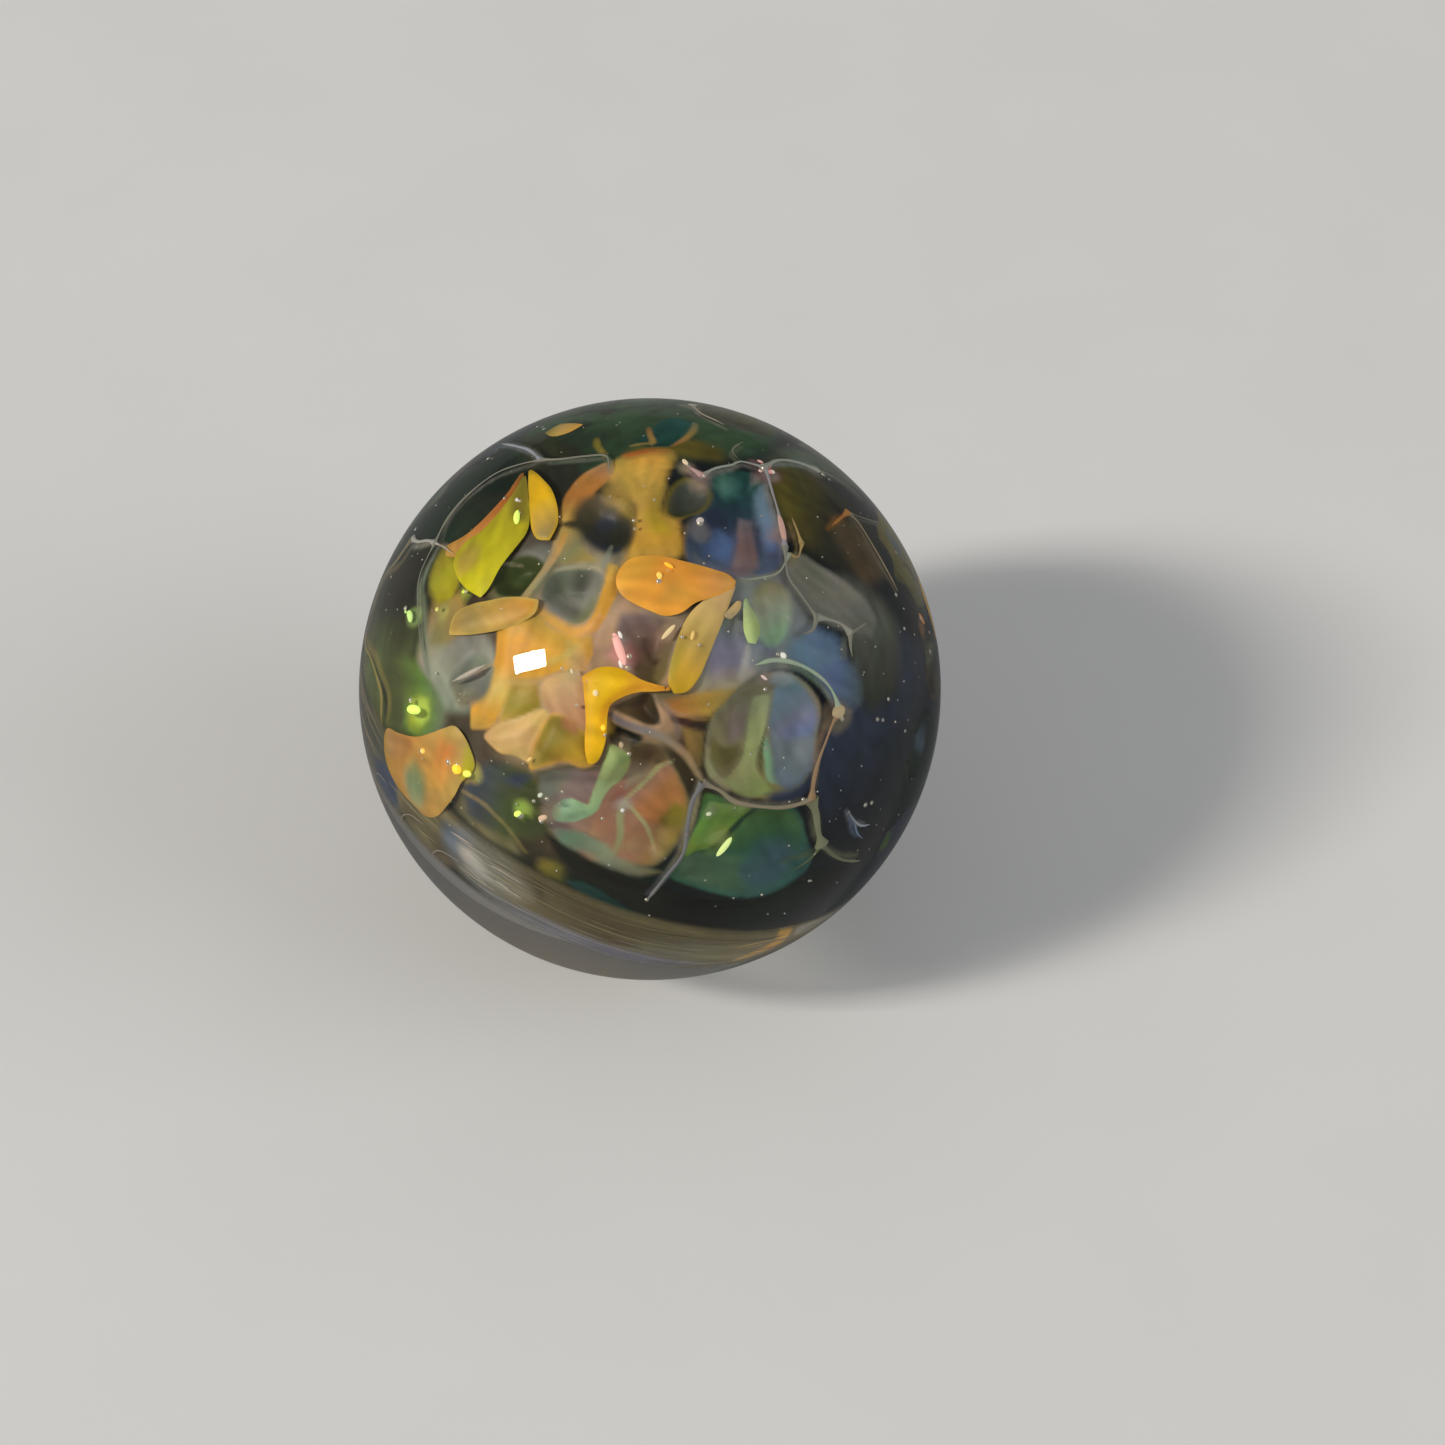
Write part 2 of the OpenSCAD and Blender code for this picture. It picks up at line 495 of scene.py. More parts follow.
# Cells and pieces with clear edges.
CELLS = [
    Field([(240, 19), (252, 17), (268, 17), (280, 19), (282, 24), (276, 26), (262, 24), (247, 23)],
          (LAGOON, LAGOON * 0.8), rise=-0.5),
    Field([(289, 29), (287, 24), (285, 19), (292, 18), (305, 20), (313, 22), (320, 24), (326, 26),
           (334, 24.4), (340, 25.6), (347, 29.6), (343, 35.5), (338, 40), (333.5, 40), (331, 36.5),
           (325, 31), (319, 29), (305, 31), (298, 32)],
          (mid(HONEY, OLIVE, 0.3), mid(AMBER, HONEY), HONEY, AMBER * 0.9, HONEY * 0.9), rise=0.2,
          soft=1.1),
    Field([(290, 31), (295, 36), (300, 39), (306, 42), (310, 44), (312, 41), (308, 37), (304, 34),
           (299, 31)],
          (SALMON * 0.9, RUST, RUST, HONEY), rise=0.3),
    Field([(306, 36), (311, 32), (319, 30), (327, 32), (330, 36), (329, 40), (322, 42), (313, 42),
           (308, 39)],
          (UMBER, SOOT * 1.8, NAVY * 0.6), rise=-0.9, ramp=5, soft=1.1),
    Field([(311, 44), (316, 42), (323, 43), (328, 43), (325, 45), (321, 48), (315, 47)],
          (HONEY, KHAKI, HONEY * 0.8), soft=0.7),
    Field([(311, 54), (314, 51), (318, 50), (320, 54), (321, 58), (316, 61), (312, 60)],
          (MOSS * 1.2, MOSS, MOSS * 0.8), rise=-1.0),
    Field([(322, 50), (326, 46), (331, 44), (335, 46), (337.4, 50), (336, 53.6), (331.5, 55.2), (325, 55)],
          (SMOKE * 0.8, FOG * 0.8, FOG, mid(SAGE, OLIVE)), rise=-1.4, ramp=4),
    Field([(330, 42), (334, 41), (338, 43), (341, 48), (341, 53), (337, 56), (338, 51), (336, 47),
           (333, 44)],
          (HONEY, AMBER, AMBER, SALMON), rise=0.3),
    Field([(320, 62), (324, 59), (328, 58), (332, 58), (337, 56), (341, 53), (344, 56), (345, 60),
           (341, 62), (338, 66), (335, 71), (334, 75), (335, 80), (332, 84), (329, 80), (328, 75),
           (327, 70), (324, 66)],
          (HONEY, AMBER, AMBER, STRAW, AMBER, HONEY), rise=0.3),
    Field([(342, 62), (346, 60), (349, 62), (352, 67), (353, 70), (348, 71), (344, 71), (340, 69),
           (339, 66)],
          (mid(SALMON, PEACH), SALMON, mid(CLAY, SALMON)), rise=0.2, soft=0.8),
    Field([(333, 70), (338, 67), (342, 71), (340, 75), (336, 79), (334, 76)],
          (HONEY * 0.8, OLIVE, HONEY), rise=0.2, soft=0.9),
    Field([(344.6, 71), (344.2, 76.3), (345.5, 81), (342.5, 81.2), (339.8, 83), (335, 83), (335.5, 78.5),
           (339, 74.5), (342, 71.5)],
          (mid(STRAW, PEACH), PEACH, PEACH, mid(PEACH, SALMON)), rise=0.4, soft=0.4),
    Field([(344.5, 46.5), (348, 45), (351.5, 43.8), (356, 43.2), (0, 43.5), (1, 47), (2, 51.5), (0.5, 55),
           (356, 55.5), (352.5, 54.8), (349.5, 53), (346.5, 50.5)],
          (DUSK, mid(DUSK, COCOA), COCOA, mid(COCOA, BRACKEN), BRACKEN), rise=-1.0, ramp=4, soft=0.9),
    Field([(353.8, 63.3), (355.1, 60.9), (356.6, 58.7), (358.5, 56.6), (0.5, 56.3), (2.5, 57.8),
           (4.2, 59.4), (5.2, 61.2), (3.6, 62.3), (359.1, 62.7), (355.8, 63.1)],
          (UMBER * 0.8, UMBER, UMBER * 0.6, SOOT * 1.3), rise=-1.0, soft=0.5),
    Field([(355.4, 65.8), (359, 65.4), (3.4, 65), (3.3, 66.7), (1.8, 68.8), (359.5, 69.8), (357.2, 69.2)],
          (INK, INK, SOOT), rise=-0.6, soft=0.6),
    Field([(4, 56), (9, 53.5), (14, 51.5), (20, 50), (20.5, 52), (16, 55.5), (11, 57), (6.5, 57.6)],
          (RUST * 0.8, mid(RUST, HONEY) * 0.85, HONEY * 0.85, mid(HONEY, KHAKI)), rise=0.3, soft=1.0),
    Field([(6, 58.5), (10, 57.8), (15, 57), (16, 58.5), (11, 59.8), (7, 60)],
          (PLUM * 0.3, SOOT), soft=0.5),
    Field([(9.2, 60), (11.2, 63.2), (13.3, 66.2), (15.8, 67.4), (17.3, 66.7), (16, 63.5), (15, 61),
           (14.5, 59.6)],
          (BARK, BARK * 0.9, mid(BARK, UMBER)), rise=0.2, soft=0.6),
    Field([(18, 53), (21, 49.5), (25, 46.6), (30, 45.2), (35, 45.4), (40, 47.4), (43.5, 51), (43.5, 56),
           (42, 62), (38, 68.5), (30, 70), (23, 69), (18, 66), (15.5, 61), (15.5, 56)],
          (mid(KHAKI, FOG), mid(KHAKI, SAND), KHAKI, mid(KHAKI, OLIVE) * 0.9), rise=-1.2, ramp=4),
    Field([(19, 71), (30, 71), (40, 71), (45, 77), (49, 84), (46, 89), (38, 93), (28, 93), (19, 91),
           (20, 82)],
          (mid(FIR, GRASS), FIR, mid(FIR, TEAL) * 0.8, TEAL * 0.35), rise=-1.3, ramp=5),
    Field([(347, 82), (351, 78), (356, 76), (0, 73), (1.8, 69.5), (3.6, 66.6), (6.5, 65.8), (9, 67),
           (12.6, 69.4), (15.7, 72), (17.7, 75.2), (18.7, 79.4), (18.3, 84), (16, 89.7), (9.3, 92.8),
           (3, 94.8), (358, 93.5), (352, 89)],
          (SAGE * 0.75, MAUVE, mid(MAUVE, CLAY), mid(CLAY, MAUVE, 0.4), OLIVE * 0.8), rise=-1.0, ramp=4,
          rim=KHAKI * 0.5),
    Field([(308, 8), (317, 13), (326, 15), (334, 17), (339, 23), (345, 27.3), (350, 31), (0, 30), (9, 29),
           (16, 28), (24, 26), (31, 22), (31, 16), (28, 10), (22, 4), (330, 2)],
          (LAGOON, NAVY, mid(DENIM, STEEL)), rise=-1.2, ramp=4),
    Field([(310, 17), (320, 15), (329, 14), (337, 17), (338, 21), (334, 24), (328, 25), (321, 23),
           (314, 20)],
          (SMOKE * 0.7, SMOKE * 0.5, MOSS * 1.2), rise=-0.9, rim=OLIVE * 0.6),
    # a pale grey cell, partly its glass and partly a painted haze of the room's reflection
    Field([(34, 22), (45, 20), (56, 23), (64, 27), (71, 33), (71, 37), (66, 40), (60, 38), (54, 37),
           (46, 35), (42, 34), (38, 31), (34, 27)],
          (FOG * 0.85, FOG * 0.8, SMOKE), rise=-0.7, ramp=4, soft=0.8),
    Field([(30, 41), (35, 38), (42, 36), (47, 37), (53, 39), (54, 42), (57, 45), (58, 50), (53, 52),
           (48, 50), (44, 46), (38, 43), (33, 42)],
          (mid(SLATE, HAZE), SLATE * 1.1, mid(SLATE, DENIM), STEEL * 0.8), rise=-0.6, ramp=3, soft=1.6),
    Field([(57, 38), (63, 39), (62, 43), (58, 44)], (SMOKE * 0.6, SMOKE * 0.5), rise=-0.5, soft=0.8),
    Field([(21, 29), (28, 28), (33, 30), (34, 34), (32, 38), (27, 40), (21, 39), (19, 35)],
          (KHAKI * 1.2, SAGE * 1.3, MINT), rise=-0.2, soft=1.1),
    Field([(10, 37), (13, 34), (15, 38), (19, 42), (22, 46), (20, 50), (12, 50), (10, 47), (9, 42)],
          (SAGE, LILAC, LILAC, SAND), rise=-0.4, soft=1.0),
    Field([(307, 101), (303, 95), (306, 88), (313, 84), (320, 84), (325, 87), (325, 91), (320, 96),
           (314, 100)],
          (MOSS * 0.9, MOSS * 1.3, GRASS * 0.6, mid(MOSS, SAGE)), rise=-0.3, soft=1.4),
    Field([(293.5, 68.5), (299, 66.3), (304, 66), (307.5, 67.5), (309, 70.5), (306, 73.5), (300.5, 73.5),
           (296, 71.5)],
          (OLIVE * 0.8, mid(OLIVE, LIME, 0.4), mid(OLIVE, LIME)), rise=-0.3, soft=1.3),
    Field([(309, 68), (314, 68), (316, 74), (312, 79), (308, 75)], (HONEY * 0.7, KHAKI), soft=1.2),
    Field([(322, 73), (328, 71), (330, 77), (327, 83), (322, 81)],
          (SAGE * 0.9, SMOKE, KHAKI), rise=-0.4, soft=0.9),
    Field([(14, 101), (0, 97), (354, 92), (5, 94), (20, 94), (30, 95), (42, 92), (50, 86), (62, 88),
           (50, 99), (32, 104), (20, 104)],
          (SOOT * 0.7, INK, PINE * 0.5, INK), rise=-0.3, soft=0.6),
    Field([(2, 102), (8, 100), (16, 102), (26, 104), (18, 106), (8, 104)],
          (TEAL * 0.3, LAGOON * 0.6, PINE * 0.6), soft=0.7),
    Field([(356, 99.5), (358.5, 98), (0.5, 98.5), (2, 101), (3, 103), (0, 103.5), (357, 102.5)],
          (mid(OLIVE, MOSS, 0.3), mid(OLIVE, MOSS, 0.7)), rise=0.2, soft=1.6),
]

# Smaller shapes inside the cells.
INLAYS = [
    Field([(344.8, 71), (347, 70), (350.4, 70.6), (353, 70.5), (355.3, 74), (357, 74.8), (355.2, 76.4),
           (350.8, 77.4), (348.2, 79.7), (346.1, 82.2), (345.3, 80.8), (344.2, 76.3)],
          (OLIVE * 0.9, OLIVE, mid(OLIVE, GOLD), mid(HONEY, GOLD)), rise=0.4, soft=0.4,
          rim=mid(AMBER, HONEY)),
    Field([(287, 28), (285, 24), (285, 19), (290, 19), (290, 24), (291, 28)],
          (EMBER, EMBER, RUST), soft=1.0),
    # lime glass, partly a painted glowing patch round the bright bead in it
    Field([(313, 93), (316, 89), (320, 87), (322, 90), (319, 95), (315, 97)],
          (GRASS * 0.8, mid(LIME, GRASS), mid(LIME, GRASS), GRASS * 0.7), soft=2.0),
    Field(ring(320, 36, 3.0), (SOOT * 1.3, NAVY * 0.7), soft=1.8),
    Field(ring(326, 36, 2.6), (SOOT * 1.2, SOOT), soft=1.6),
    Field([(325, 46), (329, 45), (331, 49), (328, 51)], (SMOKE * 0.6, SMOKE * 0.8), soft=1.2),
    Field([(300, 30), (308, 28.5), (316, 29.5), (323, 31), (315, 33), (305, 33)],
          (mid(UMBER, HONEY), mid(OLIVE, HONEY)), soft=1.6),
    Field([(313, 22), (322, 24.5), (332, 25.5), (338, 27.5), (332, 30), (322, 27.5)],
          (mid(OLIVE, HONEY), mid(OLIVE, GOLD)), soft=1.4),
    Field([(288, 22), (296, 20), (306, 22), (312, 25), (303, 28), (292, 27)],
          (mid(AMBER, ORANGE), mid(AMBER, STRAW)), soft=1.6),
    Field([(326, 52), (331, 51), (334, 55), (329, 56)], (mid(FOG, MILK, 0.2), FOG), soft=0.9),
    Field([(345, 84), (347, 83), (346, 87), (342, 88)], (NAVY, NAVY * 0.8), soft=1.2),
    Field([(337, 57), (343, 57), (346, 60), (341, 61)], (STRAW, SALMON), soft=1.2),
    Field([(347, 70), (351, 70), (351, 72), (348, 72)], (CLAY, CLAY), soft=0.8),
    # the stripes and the green foot of the round cell on the right
    Field([(21, 53), (24.5, 51.5), (25.5, 55), (25, 59), (22.5, 60.5), (21, 57)],
          (mid(FOG, KHAKI), MAUVE * 1.1, DUSK), soft=1.0),
    Field([(17.5, 60.5), (21, 62), (25, 60.3), (25.8, 63.5), (23.3, 66.6), (19, 64.5)],
          (mid(OLIVE, KHAKI) * 0.85, BRACKEN, BRACKEN * 0.9), soft=1.0),
    Field([(16.5, 62), (18, 62.5), (19, 65), (22, 67.5), (26, 68.5), (24, 70), (19, 67.5)],
          (SAND, mid(SAND, CELERY), SAND), soft=0.5),
    Field([(25.3, 51.5), (29.2, 50.2), (30.2, 54), (30.4, 56.5), (29.9, 60), (30.2, 64), (32, 66),
           (35, 68.3), (31, 69.8), (26, 69.4), (22.5, 68.2), (25, 66.8), (26.4, 64), (26.3, 60),
           (25.8, 56)],
          (mid(CELERY, MILK, 0.25), CELERY * 1.1, CELERY, CELERY * 0.9, mid(CELERY, GRASS, 0.6)), rise=0.2,
          soft=0.45),
    Field([(30.5, 57.4), (32.3, 59.2), (33.3, 61.2), (35, 64.2), (36.5, 66.5), (34.3, 67.5), (32.8, 65),
           (32, 62.5), (31, 60.5)],
          (mid(MINT, SAGE), MINT * 1.05, mid(MINT, SAGE)), rise=0.1, soft=0.4),
    Field([(31.5, 56), (43, 56), (42.5, 62), (38, 68.5), (35.5, 67), (33.5, 62)],
          (mid(SLATE, HAZE), mid(SLATE, HAZE, 0.4) * 0.9, mid(STEEL, DENIM)), soft=0.9),
    Field([(33, 69.3), (38, 67.3), (42, 63.5), (42.8, 66), (38, 70.5)], (NAVY, NAVY * 0.8), soft=0.7),
    Field([(30, 46), (35, 46), (40, 48.5), (43, 52.5), (43, 57), (36, 58), (31, 56.5), (30.2, 52)],
          (AQUA, mid(AQUA, SLATE), mid(SLATE, LILAC), DENIM * 1.2), soft=0.9),
    # a painted highlight at the top of the blue field
    Field([(27, 46.2), (31, 45.2), (35, 46), (33, 47.6), (28, 48)],
          (mid(AQUA, MILK, 0.5), mid(AQUA, MILK, 0.3)), soft=0.9),
    # the two halves and the pale foot of the green cell
    Field([(20.5, 72.5), (31.5, 71.3), (31, 74.5), (28.5, 79), (26, 84), (21.5, 86), (20.3, 80)],
          (mid(GRASS, PEA, 0.3), GRASS, GRASS * 1.15, mid(GRASS, LIME, 0.3), GRASS), rise=0.3, soft=0.4),
    Field([(33.5, 71.8), (41, 72.5), (45, 79), (42, 84), (36, 83.5), (29.5, 84), (30.5, 79)],
          (mid(FIR, GRASS, 0.45), mid(FIR, GRASS, 0.3), FIR, FIR * 0.85), rise=-0.3, soft=0.9),
    # a painted glowing patch round the bright bead in the green cell
    Field(ring(26.5, 80.5, 3.4), (mid(GRASS, LIME, 0.5), mid(GRASS, PEA, 0.3)), soft=1.8),
    Field([(21, 86), (27, 85), (36, 84), (45, 84), (45, 89), (38, 92), (28, 92), (21, 90)],
          (mid(FIR, SAGE, 0.35), mid(FIR, SAGE, 0.2), mid(FIR, TEAL) * 0.8), rise=0.2, soft=1.3),
    Field([(36, 81), (43, 79), (46.5, 84), (44, 89), (38, 91), (34, 88)],
          (mid(FIR, TEAL) * 0.8, mid(TEAL, SLATE) * 0.5, mid(TEAL, NAVY) * 0.7), soft=1.6),
    # the band, the lobe and the fields of the patterned cell
    Field([(350, 80), (355, 77.5), (358.5, 77), (359.3, 81), (358.5, 83), (355, 83.5), (352, 86)],
          (SAGE * 0.9, MAUVE * 1.1, MAUVE), soft=0.9),
    Field([(7, 77), (8.2, 72), (9.5, 68.2), (12.5, 70.2), (15.2, 72.8), (16.5, 76), (16, 80), (13, 82),
           (10, 83), (8, 80.5)],
          (mid(CLAY, MAUVE, 0.4), mid(CLAY, RUST, 0.4), mid(CLAY, RUST), BARK), rise=0.2, soft=1.1),
    Field([(8, 80), (13, 82), (15, 86), (12, 89), (9, 90), (7, 86)],
          (mid(CLAY, MAUVE), mid(CLAY, MAUVE, 0.3), mid(CLAY, SAND)), soft=1.1),
    Field([(4.2, 74), (5.4, 74.2), (5.3, 77), (4.6, 79.5), (3.2, 80.5), (3, 78)],
          (PLUM, PLUM * 1.2, PLUM), soft=0.6),
    Field([(3, 81.5), (5, 80.5), (6, 84), (6.5, 89), (2.5, 90.5), (2.2, 86)],
          (mid(CLAY, MAUVE), mid(CLAY, MAUVE, 0.3), mid(CLAY, SAND)), soft=0.8),
    Field([(1.8, 69.5), (3.6, 66.8), (6.5, 66), (9.3, 67.4), (8, 70), (5, 72), (3, 71.5)],
          (BRACKEN * 0.5, UMBER * 0.8, BRACKEN * 0.6), soft=0.7),
    Field([(3, 70), (8, 69.5), (7, 73), (4.5, 77), (3.2, 74)],
          (UMBER, SAND * 0.9, mid(SAND, MAUVE)), soft=0.8),
    Field([(14.5, 75), (17, 75.5), (18, 79), (15.5, 81), (13.5, 80)],
          (OLIVE * 0.8, OLIVE * 0.55), soft=0.8),
    Field([(356, 91), (3, 90), (12, 91), (18, 90), (14, 93), (4, 93), (358, 93)],
          (mid(TEAL, MINT) * 0.7, SAGE * 0.9, KHAKI), soft=0.9),
    # the bands of the blue cell
    # a painted highlight: a brighter teal in the blue cell
    Field([(315, 9.5), (327, 6.5), (343, 8), (337, 11.5), (324, 12.5)],
          (mid(TEAL, MINT, 0.3), TEAL), soft=1.8),
    Field([(339, 15), (350, 15), (356, 19), (350, 23), (343, 20)], (NAVY, NAVY * 0.8), soft=1.6),
    Field([(349, 20), (356, 19), (3, 20), (5, 25), (356, 26), (351, 25)], (DENIM, DENIM), soft=1.5),
    Field([(350, 28), (359, 27), (8, 26.5), (16, 25.5), (18, 28), (8, 29.5), (0, 30), (352, 30)],
          (mid(STEEL, FOG), mid(LILAC, SLATE), mid(LILAC, MAUVE), SMOKE), soft=1.3),
    Field([(0, 13.5), (12, 12.5), (16, 19), (18, 25.5), (13, 29), (7.5, 27.5), (4, 21)],
          (mid(MAUVE, LILAC, 0.4), mid(MAUVE, ROSE, 0.3) * 0.7, mid(MAUVE, LILAC, 0.3)), soft=1.0),
    Field([(8, 5), (20, 4), (27, 9), (30, 14), (28.5, 20), (23, 20), (19, 14)],
          (mid(SLATE, AQUA), SLATE, DENIM), soft=1.0),
    # a painted pink glowing patch round the bright pink bead
    Field(ring(349.5, 53, 2.4), (ROSE * 0.8, mid(ROSE, MAUVE)), soft=1.5),
]

# Thin bands of glass drawn out between and across the cells.
BANDS = [
    Field([(357.6, 70), (358.2, 73.5), (358.8, 77), (359.6, 80.5), (0, 83.2), (358, 83.4), (355.9, 83.9),
           (354.2, 85.8), (353.7, 87.8), (354.9, 89.4), (357.8, 89), (359.8, 87.1), (2, 83.5), (2, 80.3),
           (2.1, 77.7), (2.9, 75.5), (2.9, 72.3), (2.2, 70.2), (0, 69.6)],
          (mid(PEA, GRASS, 0.4), PEA, mid(PEA, MINT), MINT, MINT), rise=0.4, soft=0.35),
    band([(314, 44), (318, 48), (320, 52), (322, 57), (325, 62)],
         1.9, (AMBER * 0.8, SAND, HONEY), soft=0.5),
    band([(303, 77), (308, 79), (313, 81.5)], 1.2, (SMOKE * 1.1, SMOKE), soft=0.6),
    band([(291, 69), (296, 66.5), (300.5, 65), (304, 63.5), (307, 60.5), (310, 57.5), (313, 54)],
         0.9, (SAND, FOG, SAND * 0.9), soft=0.4),
    band([(313, 45), (317, 48.5), (319.5, 52), (321.5, 57), (324, 61)],
         0.8, (SAND, PEACH * 0.8, SAND), soft=0.4),
    band([(318, 60.5), (321, 59.4), (324, 58)], 0.5, (MILK * 0.7, MILK * 0.8), soft=0.3),
    band([(321.5, 49.5), (324, 47), (327.5, 44.8), (331, 43.8)], 0.7, (FOG, SAND), soft=0.4),
    band([(326, 38.5), (328.5, 41), (331, 44)], 0.9, (FOG, FOG), soft=0.5),
    band([(324, 57.6), (328, 57.4), (332, 56.8), (336, 55.6), (339, 52.8), (339.8, 49)],
         2.0, (HONEY, AMBER * 0.95, AMBER, mid(AMBER, SALMON)), soft=0.9),
    band([(341, 44), (345, 42), (349, 43)], 1.6, (mid(SAND, SALMON), SAND), soft=0.7),
    band([(292, 69), (297, 75), (303, 77), (308, 79), (313, 81), (317, 83)],
         2.0, (SAGE * 0.8, SAGE * 0.6), soft=0.9),
    band([(285, 43), (286, 38), (287, 35), (288, 31)], 1.4, (SMOKE, SMOKE * 0.8), soft=0.6),
    band([(280, 19), (268, 17), (252, 17), (240, 19)], 1.4, (RUST, HONEY * 0.8, KHAKI), soft=0.5),
    band([(281, 27), (276, 23), (268, 24), (262, 25)], 1.3, (HONEY, HONEY, RUST), soft=0.5),
    band([(287, 31), (279, 33), (272, 34)], 1.3, (HONEY * 0.8, OLIVE, OLIVE), soft=0.5),
    band([(18, 69), (18, 74), (19, 79), (20, 84), (19, 90), (18, 97)],
         1.8, (SAND, KHAKI, NAVY * 1.6), rise=0.5, soft=0.6),
    band([(354.5, 64.4), (358, 64.6), (2, 64), (5, 63.6), (8, 64), (12, 65.2), (15.5, 67.2), (19, 69.5)],
         1.7,
         (NAVY * 1.2, LILAC * 0.6, mid(FOG, LILAC) * 0.9, mid(SAND, FOG) * 0.9, mid(SAND, SALMON) * 0.8,
          mid(SAND, SALMON), SAND), rise=0.4, soft=0.6),
    band([(33, 72), (31, 76), (29, 80), (27, 84)], 1.2, (PINE, PINE, PINE * 1.5), soft=0.5),
    band([(30.6, 56.5), (30.7, 59.5), (31, 62.5), (32, 65.5)], 0.6, (MOSS * 1.3, MOSS * 1.3), soft=0.35),
    band([(10.5, 67.2), (8.3, 69.9), (7.4, 72.8), (6.4, 76), (5.6, 79.6)],
         0.9, (mid(SAND, PEA), mid(SAND, PEA)), soft=0.4),
    band([(5.8, 79.4), (6.8, 83.6), (8.1, 86.4), (9, 91)],
         1.5, (mid(SAND, PEA) * 0.9, mid(CELERY, SAGE) * 0.8), soft=0.5),
    band([(6.4, 79.4), (9, 80.5), (12.6, 82.8), (15.5, 87)],
         0.8, (mid(SAND, PEA), mid(SAND, PEA) * 0.9), soft=0.4),
    band([(0.3, 56.4), (2.5, 57), (4.7, 57.8), (6.8, 58.8), (8.4, 60.6), (9.3, 63)],
         0.7, (SMOKE * 0.7, DUSK * 0.6, DUSK * 0.7), soft=0.8),
    band([(17.6, 41), (18.4, 43.5), (19, 46), (20, 49)], 1.3, (mid(FOG, MILK), mid(FOG, MILK)), soft=0.8),
    band([(335.5, 96.5), (340.4, 95.3), (344, 96), (348, 97), (353, 99.5)],
         0.9, (mid(OLIVE, SAND), mid(OLIVE, SAND) * 0.8, mid(OLIVE, KHAKI)), soft=0.7),
    band([(323, 79), (325, 75), (327, 71)], 1.0, (FOG, SAND, SAND), rise=0.3, soft=0.4),
    band([(340, 56), (339, 60), (336, 64)], 1.4, (STRAW, STRAW), soft=0.9),
    band([(331, 72), (336, 68), (341, 63)], 1.2, (STRAW, SALMON), soft=0.7),
]

